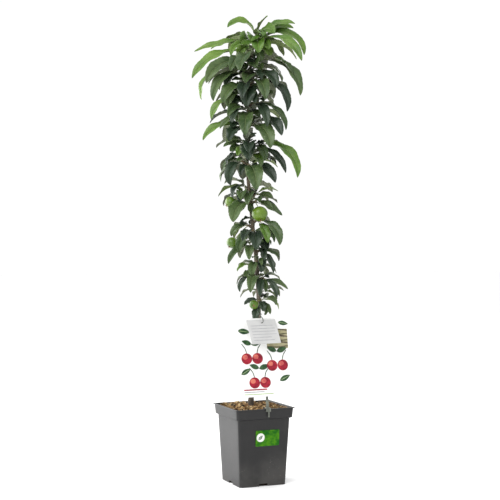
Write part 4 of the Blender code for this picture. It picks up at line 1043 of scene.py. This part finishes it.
def makeShoot(dice):
    share = np.linspace(shoot["from"], 1.0, shoot["rows"])
    path = np.array([tipRoot(float(s)) for s in share])
    u, v = np.meshgrid(np.arange(shoot["sides"]) / shoot["sides"], share)
    radii = np.interp(share, (0, 0.96, 1), (*tip["radii"], shoot["endRadius"]))
    relief = shoot["lump"] * roughness2d(u * 4, v * 14 + 9, 4, 7)
    heap = Heap(sweep(path, radii, (1.0, 0.0, 0.0), shoot["sides"], relief=relief))
    for _ in range(shoot["buds"]):
        out = scattered(dice, aim(tip["turn"], tip["rise"]), shoot["budSpread"])
        heap.add(bud(tipRoot(0.98), out, dice.uniform(*shoot["budLength"]), shoot["budRadius"]))
    green = crumbly("greenShoot", (0.10, 0.12, 0.045), (0.20, 0.21, 0.095), 200.0, 0.6)
    makePiece("leadingShoot", heap, [green], ["crown_tip"], bark["sharp"])


# Fruit: a globe with a funnel at the stalk and a shallow, five-lobed basin at the eye
apple = {
    "rows": 44, "columns": 48, "funnel": 0.34, "funnelWidth": 0.30, "basin": 0.17, "basinWidth": 0.30,
    "lobes": 0.022, "sepals": 5, "sepalLength": 0.17, "sepalRadius": 0.0011, "sepalFlatness": (1.0, 0.35),
    "stalkArch": 0.006, "stalkShares": (0, 0.8, 1), "stalkRadii": (0.0015, 0.0009, 0.0013),
}


def skinFinish():
    f = Finish("greenSkin", (0.2, 0.4, 0.05), 0.32, Specular_IOR_Level=0.4, Coat_Weight=0.08,
               Coat_Roughness=0.25)
    base = f.mix(f.noise(26.0).between(0.35, 0.65), (0.042, 0.096, 0.004), (0.092, 0.160, 0.010))
    dots = (1 - f.cells(420.0).between(0.07, 0.14))
    f.colour(f.mix(dots * 0.5, base, (0.26, 0.32, 0.12)))
    f.rough(0.30 + f.noise(90.0) * 0.14)
    f.bump(f.noise(300.0) * 0.5 - dots * 0.3, 0.0002)
    return f


# Radius at angle t from the stalk: one, less a bell at each pole, with lobes that fade in towards the eye
def fruitSkin(centre, eyeWay, radius):
    t = np.linspace(0.03, pi - 0.03, apple["rows"])[:, None]
    around = (np.arange(apple["columns"]) * 2 * pi / apple["columns"])[None]
    reach = 1 - apple["funnel"] * np.exp(-(t / apple["funnelWidth"]) ** 2)
    reach = reach - apple["basin"] * np.exp(-((pi - t) / apple["basinWidth"]) ** 2)
    reach = reach * (1 + apple["lobes"] * np.cos(5 * around) * np.clip(t * 2 / pi - 1, 0, 1) ** 2)
    shape = np.stack((reach * np.sin(t) * np.cos(around), reach * np.sin(t) * np.sin(around),
                      reach * np.cos(t) * fruit["flatten"]), -1)
    turned = np.array((-eyeWay).to_track_quat("Z", "Y").to_matrix())
    return sleeve(shape[::-1] * radius @ turned.T + np.array(centre))


# A dried sepal rises from the basin and curls outwards with a power of the share along it
def sepal(basin, eyeWay, out, length):
    share = np.linspace(0, 1, 8)
    path = np.array(basin) + share[:, None] * length * np.array(eyeWay) * 1.1
    path = path + (share ** 1.8)[:, None] * length * np.array(out) * 0.9
    radii = apple["sepalRadius"] * (1 - share ** 2 * 0.85)
    return sweep(path, radii, tuple(out.cross(eyeWay)), section=circle(8) * apple["sepalFlatness"])


# The stalk: a quadratic curve that arches over from the spur to the bottom of the funnel
def fruitStalk(start, stop):
    share = np.linspace(0, 1, 16)[:, None]
    over = (start + stop) / 2 + Vector((0, 0, apple["stalkArch"]))
    start, over, stop = np.array(start), np.array(over), np.array(stop)
    path = (1 - share) ** 2 * start + 2 * share * (1 - share) * over + share ** 2 * stop
    return sweep(path, np.interp(share[:, 0], apple["stalkShares"], apple["stalkRadii"]), (1.0, 0.3, 0.0), 10)


def makeFruit():
    skin, dry, stalks = Heap(), Heap(), Heap()
    for row in fruit["rows"]:
        centre, eyeWay = fruitPlace(row)
        radius = row[4] / 2
        skin.add(fruitSkin(centre, eyeWay, radius), mass=row[0])
        basin = centre + eyeWay * radius * (1 - apple["basin"]) * fruit["flatten"]
        for number in range(apple["sepals"]):
            spin = Matrix.Rotation(2 * pi * number / apple["sepals"], 3, eyeWay)
            out = spin @ eyeWay.orthogonal().normalized()
            dry.add(sepal(basin, eyeWay, out, row[4] * apple["sepalLength"]))
        stop = centre - eyeWay * radius * (1 - apple["funnel"]) * 0.9
        stalks.add(fruitStalk(stalkFoot(stems[row[0]]), stop))
    dryFinish = crumbly("driedSepal", (0.12, 0.065, 0.03), (0.32, 0.19, 0.09), 500.0)
    stalkFinish = crumbly("fruitStalk", (0.19, 0.22, 0.07), (0.36, 0.33, 0.14), 300.0, 0.6)
    makePiece("fruitSkin", skin, [skinFinish()], [row[0] for row in fruit["rows"]], 60.0)
    makePiece("driedSepals", dry, [dryFinish], sharp=60.0)
    makePiece("fruitStalks", stalks, [stalkFinish])


# Card, clip, tag and sticker: places as in their solids
board = {"lean": 10.0, "foot": (0.0055, -0.0815, 0.2125), "shift": 0.0025, "height": 0.208, "thick": 0.0008,
         "cardFootZ": 0.239, "stemThick": 0.0016, "stemWidth": 0.008, "stemLength": 0.120, "stemRoot": 0.004}
tag = {"centre": (-0.002, -0.0728, 0.4104), "turn": 10.0, "lean": 25.0, "height": 0.068, "thick": 0.0008,
       "holeDown": 0.009, "tieRadius": 0.0012, "tieZ": 0.4530}
sticker = {"x": 0.009, "z": 0.1285, "thick": 0.0005}


def leanMatrix():
    return Matrix.Translation(board["foot"]) @ Matrix.Rotation(-radians(board["lean"]), 4, "X")


def cardMatrix():
    rise = (board["cardFootZ"] - board["foot"][2]) / cos(radians(board["lean"])) + board["height"] / 2
    away = -(board["stemThick"] + board["thick"]) / 2 - clear
    return leanMatrix() @ Matrix.Translation((board["shift"], away, rise))


def tagMatrix():
    turned = Matrix.Translation(tag["centre"]) @ Matrix.Rotation(radians(tag["turn"]), 4, "Z")
    return turned @ Matrix.Rotation(-radians(tag["lean"]), 4, "X")


def stickerMatrix():
    taper = (pot["shoulder"] - pot["foot"]) / pot["shoulderZ"]
    wall = pot["foot"] + taper * sticker["z"]
    place = Matrix.Translation((sticker["x"], -wall - sticker["thick"] / 2 - clear, sticker["z"]))
    return place @ Matrix.Rotation(np.arctan(taper), 4, "X")


inks = {
    "red": ((0.17, 0.003, 0.014), (0.31, 0.010, 0.026)), "pink": ((0.40, 0.06, 0.06), (0.54, 0.15, 0.10)),
    "green": ((0.012, 0.040, 0.014), (0.034, 0.085, 0.030)), "pale": ((0.30, 0.40, 0.20), (0.40, 0.48, 0.26)),
    "olive": ((0.070, 0.064, 0.034), (0.13, 0.12, 0.066)), "straw": ((0.26, 0.24, 0.13), (0.36, 0.33, 0.20)),
    "brown": ((0.055, 0.042, 0.028), (0.11, 0.085, 0.055)), "grey": ((0.24, 0.24, 0.26), (0.33, 0.33, 0.35)),
    "white": ((0.58, 0.58, 0.56), (0.68, 0.68, 0.66)),
}
inkStep = 0.00006
inkGap = 0.000006


# Flat motifs in front of one sheet. Each is a thin closed patch that stands out by its layer, from an outline
# in millimetres that runs anticlockwise as seen from the front
class Motifs:
    def __init__(self, matrix, thick):
        self.matrix = np.array(matrix)
        self.front = -thick / 2
        self.heap = Heap()
        self.colours = []

    def draw(self, outline, centre, layer, colour):
        if colour not in self.colours:
            self.colours.append(colour)
        flat = (outline + centre) * milli
        depths = (self.front - inkGap, self.front - inkStep * layer)
        rings = np.stack([np.insert(flat, 1, depth, axis=1) for depth in depths])
        points, quads, tris = sleeve(rings)
        points = points @ self.matrix[:3, :3].T + self.matrix[:3, 3]
        self.heap.add((points, quads, tris), self.colours.index(colour))

    def join(self, name):
        finishes = [mottled(ink + "Ink", *inks[ink], 90.0, 0.35, Specular_IOR_Level=0.3)
                    for ink in self.colours]
        makePiece(name, self.heap, finishes)


def disc(radius, squash=1.0):
    return circle(36) * (radius, radius * squash)


def bar(width, height):
    return np.array(((-1, -1), (1, -1), (1, 1), (-1, 1))) * (width / 2, height / 2)


def spun(flat, angle):
    c, s = cos(radians(angle)), sin(radians(angle))
    return flat @ np.array(((c, s), (-s, c)))


# A pointed oval: a sine raised to a power above and below its midline, turned by an angle
def leafOutline(length, width, angle):
    share = np.linspace(0, 1, 15)
    rise = width / 2 * np.sin(pi * share ** 0.85) ** 0.9
    upper, lower = np.stack((share * length, rise), 1), np.stack((share * length, -rise), 1)
    return spun(np.concatenate((lower, upper[-2:0:-1])), angle)


# A band of even width along a gentle arch, for stems and for the panel's waves
def archOutline(span, height, width, angle=0.0):
    share = np.linspace(0, 1, 17)
    middle = np.stack((share * span, np.sin(pi * share) * height), 1)
    return spun(np.concatenate((middle - (0, width / 2), (middle + (0, width / 2))[::-1])), angle)


def sheetFinish(name, dark, light, roughness, coat):
    f = mottled(name, dark, light, 9.0, roughness, 0.3, 0.7, Coat_Weight=coat, Coat_Roughness=0.18)
    fibre = f.noise(520.0, 4.0, 0.7)
    f.rough(roughness + fibre * 0.12)
    f.bump(fibre, 0.00006)
    return f


def useFinish(nodeName, finish):
    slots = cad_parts[nodeName].data.materials
    slots.clear()
    slots.append(finish.material)


# The card's own design in millimetres: hanging pairs of stone fruit, loose leaves, a panel of waves, plain bars
design = {
    "pairs": ((-38, 22), (34, 2), (-20, -42)),
    "loose": ((-74, 72, 36, -8), (38, -64, 34, 24), (44, 92, 30, -10), (-72, -44, 32, 28)),
    "bars": (((66, 3.4), (-34, -85), "red"), ((58, 2.2), (-38, -91), "grey"), ((84, 2.4), (-25, -97), "pale")),
    "panel": (62, 52), "panelMiddle": (38, 48), "waveStart": (7, 28), "waveStep": 8.4,
}


def makeCard():
    useFinish("picture_card", sheetFinish("cardBoard", (0.72, 0.72, 0.71), (0.80, 0.80, 0.79), 0.32, 0.3))
    motifs = Motifs(cardMatrix(), board["thick"])
    motifs.draw(bar(*design["panel"]), design["panelMiddle"], 1, "straw")
    left, low = design["waveStart"]
    for number in range(6):
        wave = archOutline(design["panel"][0], (-2.5, 3.0)[number % 2], 3.6)
        motifs.draw(wave, (left, low + number * design["waveStep"]), 2, ("olive", "brown")[number % 2])
    for x, z in design["pairs"]:
        for side in (-1, 1):
            ball = x + side * 15.5, z - 25
            motifs.draw(archOutline(31, side * 3.0, 1.6, 90 - side * 26), (x + side * 14.5, z - 13), 3, "green")
            motifs.draw(disc(15.4, 0.95), ball, 4, "red")
            motifs.draw(disc(7.6, 0.8), (ball[0] - 4.4, ball[1] + 4.6), 5, "pink")
        motifs.draw(leafOutline(32, 14.5, 16), (x, z + 12), 3, "green")
        motifs.draw(leafOutline(29, 13.5, 160), (x, z + 13), 3, "green")
    for x, z, length, angle in design["loose"]:
        motifs.draw(leafOutline(length, length * 0.42, angle), (x, z), 3, "green")
        motifs.draw(leafOutline(length, 1.0, angle), (x, z), 4, "pale")
    for size, centre, colour in design["bars"]:
        motifs.draw(bar(*size), centre, 1, colour)
    motifs.join("cardInk")


def makeTag():
    useFinish("hang_tag", sheetFinish("tagPlastic", (0.40, 0.40, 0.395), (0.52, 0.52, 0.515), 0.45, 0.1))
    motifs = Motifs(tagMatrix(), tag["thick"])
    for number, (length, shift) in enumerate(((70, -2), (76, 1), (74, 0), (76, 1), (58, -8), (66, -4))):
        motifs.draw(bar(length, 1.3), (shift, 17 - number * 8.2), 1, "grey")
    motifs.join("tagLines")


def makeSticker():
    f = Finish("stickerFilm", (0.10, 0.4, 0.05), 0.36, Specular_IOR_Level=0.1)
    blotch = f.noise(75.0, 4.0, 0.6)
    f.colour(f.mix(blotch.between(0.34, 0.66), (0.003, 0.075, 0.003), (0.048, 0.185, 0.003)))
    f.rough(0.30 + blotch * 0.2)
    useFinish("pot_sticker", f)
    motifs = Motifs(stickerMatrix(), sticker["thick"])
    motifs.draw(disc(11.5), (-20, 2), 1, "white")
    for layer, width, colour in ((2, 7.5, "green"), (3, 0.8, "white")):
        motifs.draw(leafOutline(16, width, 42), (-26, -3.5), layer, colour)
    motifs.join("stickerInk")


# Clip: a strip behind the card with a rib, a saddle over the rim, a leg inside, a prong and a cheek outside
clip = {
    "inner": -0.0790, "rib": 0.0022, "ribEnd": 0.024, "ribOut": 0.0004, "ribThick": 1.3, "saddle": 0.0144,
    "leg": 0.0075, "legDown": 0.010, "prong": 0.0044, "prongDown": 0.022, "prongShift": 0.0015,
    "cheekDown": 0.0075, "cheekShift": 0.0005, "squareness": 0.45,
}


# A rounded rectangle carried along a line: a superellipse, half width by half thickness
def strip(start, end, width, thick):
    corners = circle(16)
    section = np.sign(corners) * np.abs(corners) ** clip["squareness"] * (width / 2, thick / 2)
    return sweep(np.linspace(start, end, 14), 1.0, (1.0, 0.0, 0.0), section=section)


def makeClip():
    thick = board["stemThick"]
    top = pot["height"] + clear
    inner = clip["inner"] + thick / 2
    outer = -pot["lip"] - clear - thick / 2
    middle = board["foot"][0]
    root = -board["stemRoot"]
    stem = [leanMatrix() @ Vector((0, 0, z)) for z in (root, root + board["stemLength"])]
    rib = [leanMatrix() @ Vector((0, -clip["ribOut"], z)) for z in (0, clip["ribEnd"])]
    saddle = [(middle, outer - thick / 2, top + thick), (middle, inner + thick / 2, top + thick)]
    heap = Heap(strip(*stem, board["stemWidth"], thick), strip(*rib, clip["rib"], thick * clip["ribThick"]),
                strip(*saddle, clip["saddle"], thick * 2))
    for x, y, down, width in (
            (middle, inner, clip["legDown"], clip["leg"]),
            (middle + clip["prongShift"], outer, clip["prongDown"], clip["prong"]),
            (middle + clip["cheekShift"], outer, clip["cheekDown"], clip["saddle"])):
        heap.add(strip((x, y, top + thick), (x, y, top - down), width, thick))
    f = mottled("clipPlastic", (0.070, 0.078, 0.062), (0.145, 0.155, 0.125), 60.0, 0.4)
    f.rough(0.32 + f.noise(200.0) * 0.2)
    makePiece("cardClip", heap, [f], ["card_clip"], 35.0)


# A ring: circles of the tie's thickness round a larger circle
def torus(middle, reach, radius, turns=48, sides=10):
    wide, small = circle(turns), circle(sides) * radius
    away = reach + small[:, 0]
    points = np.stack((away * wide[:, :1], away * wide[:, 1:], np.tile(small[:, 1], (turns, 1))), -1) + middle
    row, column = np.arange(turns)[:, None] * sides, np.arange(sides)[None]
    nextRow, nextColumn = np.roll(row, -1), np.roll(column, -1)
    quads = np.stack((row + column, nextRow + column, nextRow + nextColumn, row + nextColumn), -1)
    return points.reshape(-1, 3), quads.reshape(-1, 4), np.zeros((0, 3), int)


# A smooth curve through all its knots: each stretch is a cubic in the four knots round it
def curveThrough(knots, count):
    t = np.linspace(0, len(knots) - 1, count)
    k = np.minimum(t.astype(int), len(knots) - 2)
    s = (t - k)[:, None]
    before, after = knots[np.maximum(k - 1, 0)], knots[np.minimum(k + 2, len(knots) - 1)]
    return (before * (-s ** 3 + 2 * s ** 2 - s) + knots[k] * (3 * s ** 3 - 5 * s ** 2 + 2)
            + knots[k + 1] * (-3 * s ** 3 + 4 * s ** 2 + s) + after * (s ** 3 - s ** 2)) / 2


# Tie: a ring round the trunk, a tail through the tag's hole and a knot behind it
def makeTie():
    radius = tag["tieRadius"]
    middle = axisAt(tag["tieZ"])
    ring = byHeight(plant["thickness"], tag["tieZ"]) + 2 * clear + radius
    hole = tagMatrix() @ Matrix.Translation((0, 0, tag["height"] / 2 - tag["holeDown"]))
    out = (hole.to_3x3() @ Vector((0, -1, 0))).normalized()
    up = Vector((0, 0, 1))
    centre = hole.translation
    start = middle + Vector((0, -ring, 0))
    knots = [start, start.lerp(centre, 0.35) + up * 0.008, start.lerp(centre, 0.8) + up * 0.012,
             centre + out * 0.0065 + up * 0.0085, centre + out * 0.0085,
             centre + out * 0.0040 - up * 0.0010, centre - out * 0.0016]
    tail = sweep(curveThrough(np.array(knots), 60), radius, (1.0, 0.0, 0.0), 10)
    knot = bud(centre - out * 0.0014, -out, 0.0052, 0.0026)
    finish = mottled("tiePlastic", (0.035, 0.042, 0.035), (0.085, 0.095, 0.08), 200.0, 0.45)
    heap = Heap(torus(np.array(middle), ring, radius), tail, knot)
    makePiece("tagTie", heap, [finish], ["tag_tie"], 60.0)


makeStudio()
growth, stems = growPlant()
fillCrown()
for make in (makePot, makePottingMix, makeChips, makeLeaves, makeTrunk, makeSpurs, makeFruit, makeCard, makeTag,
             makeSticker, makeClip, makeTie):
    make()
    print(make.__name__, "is done")
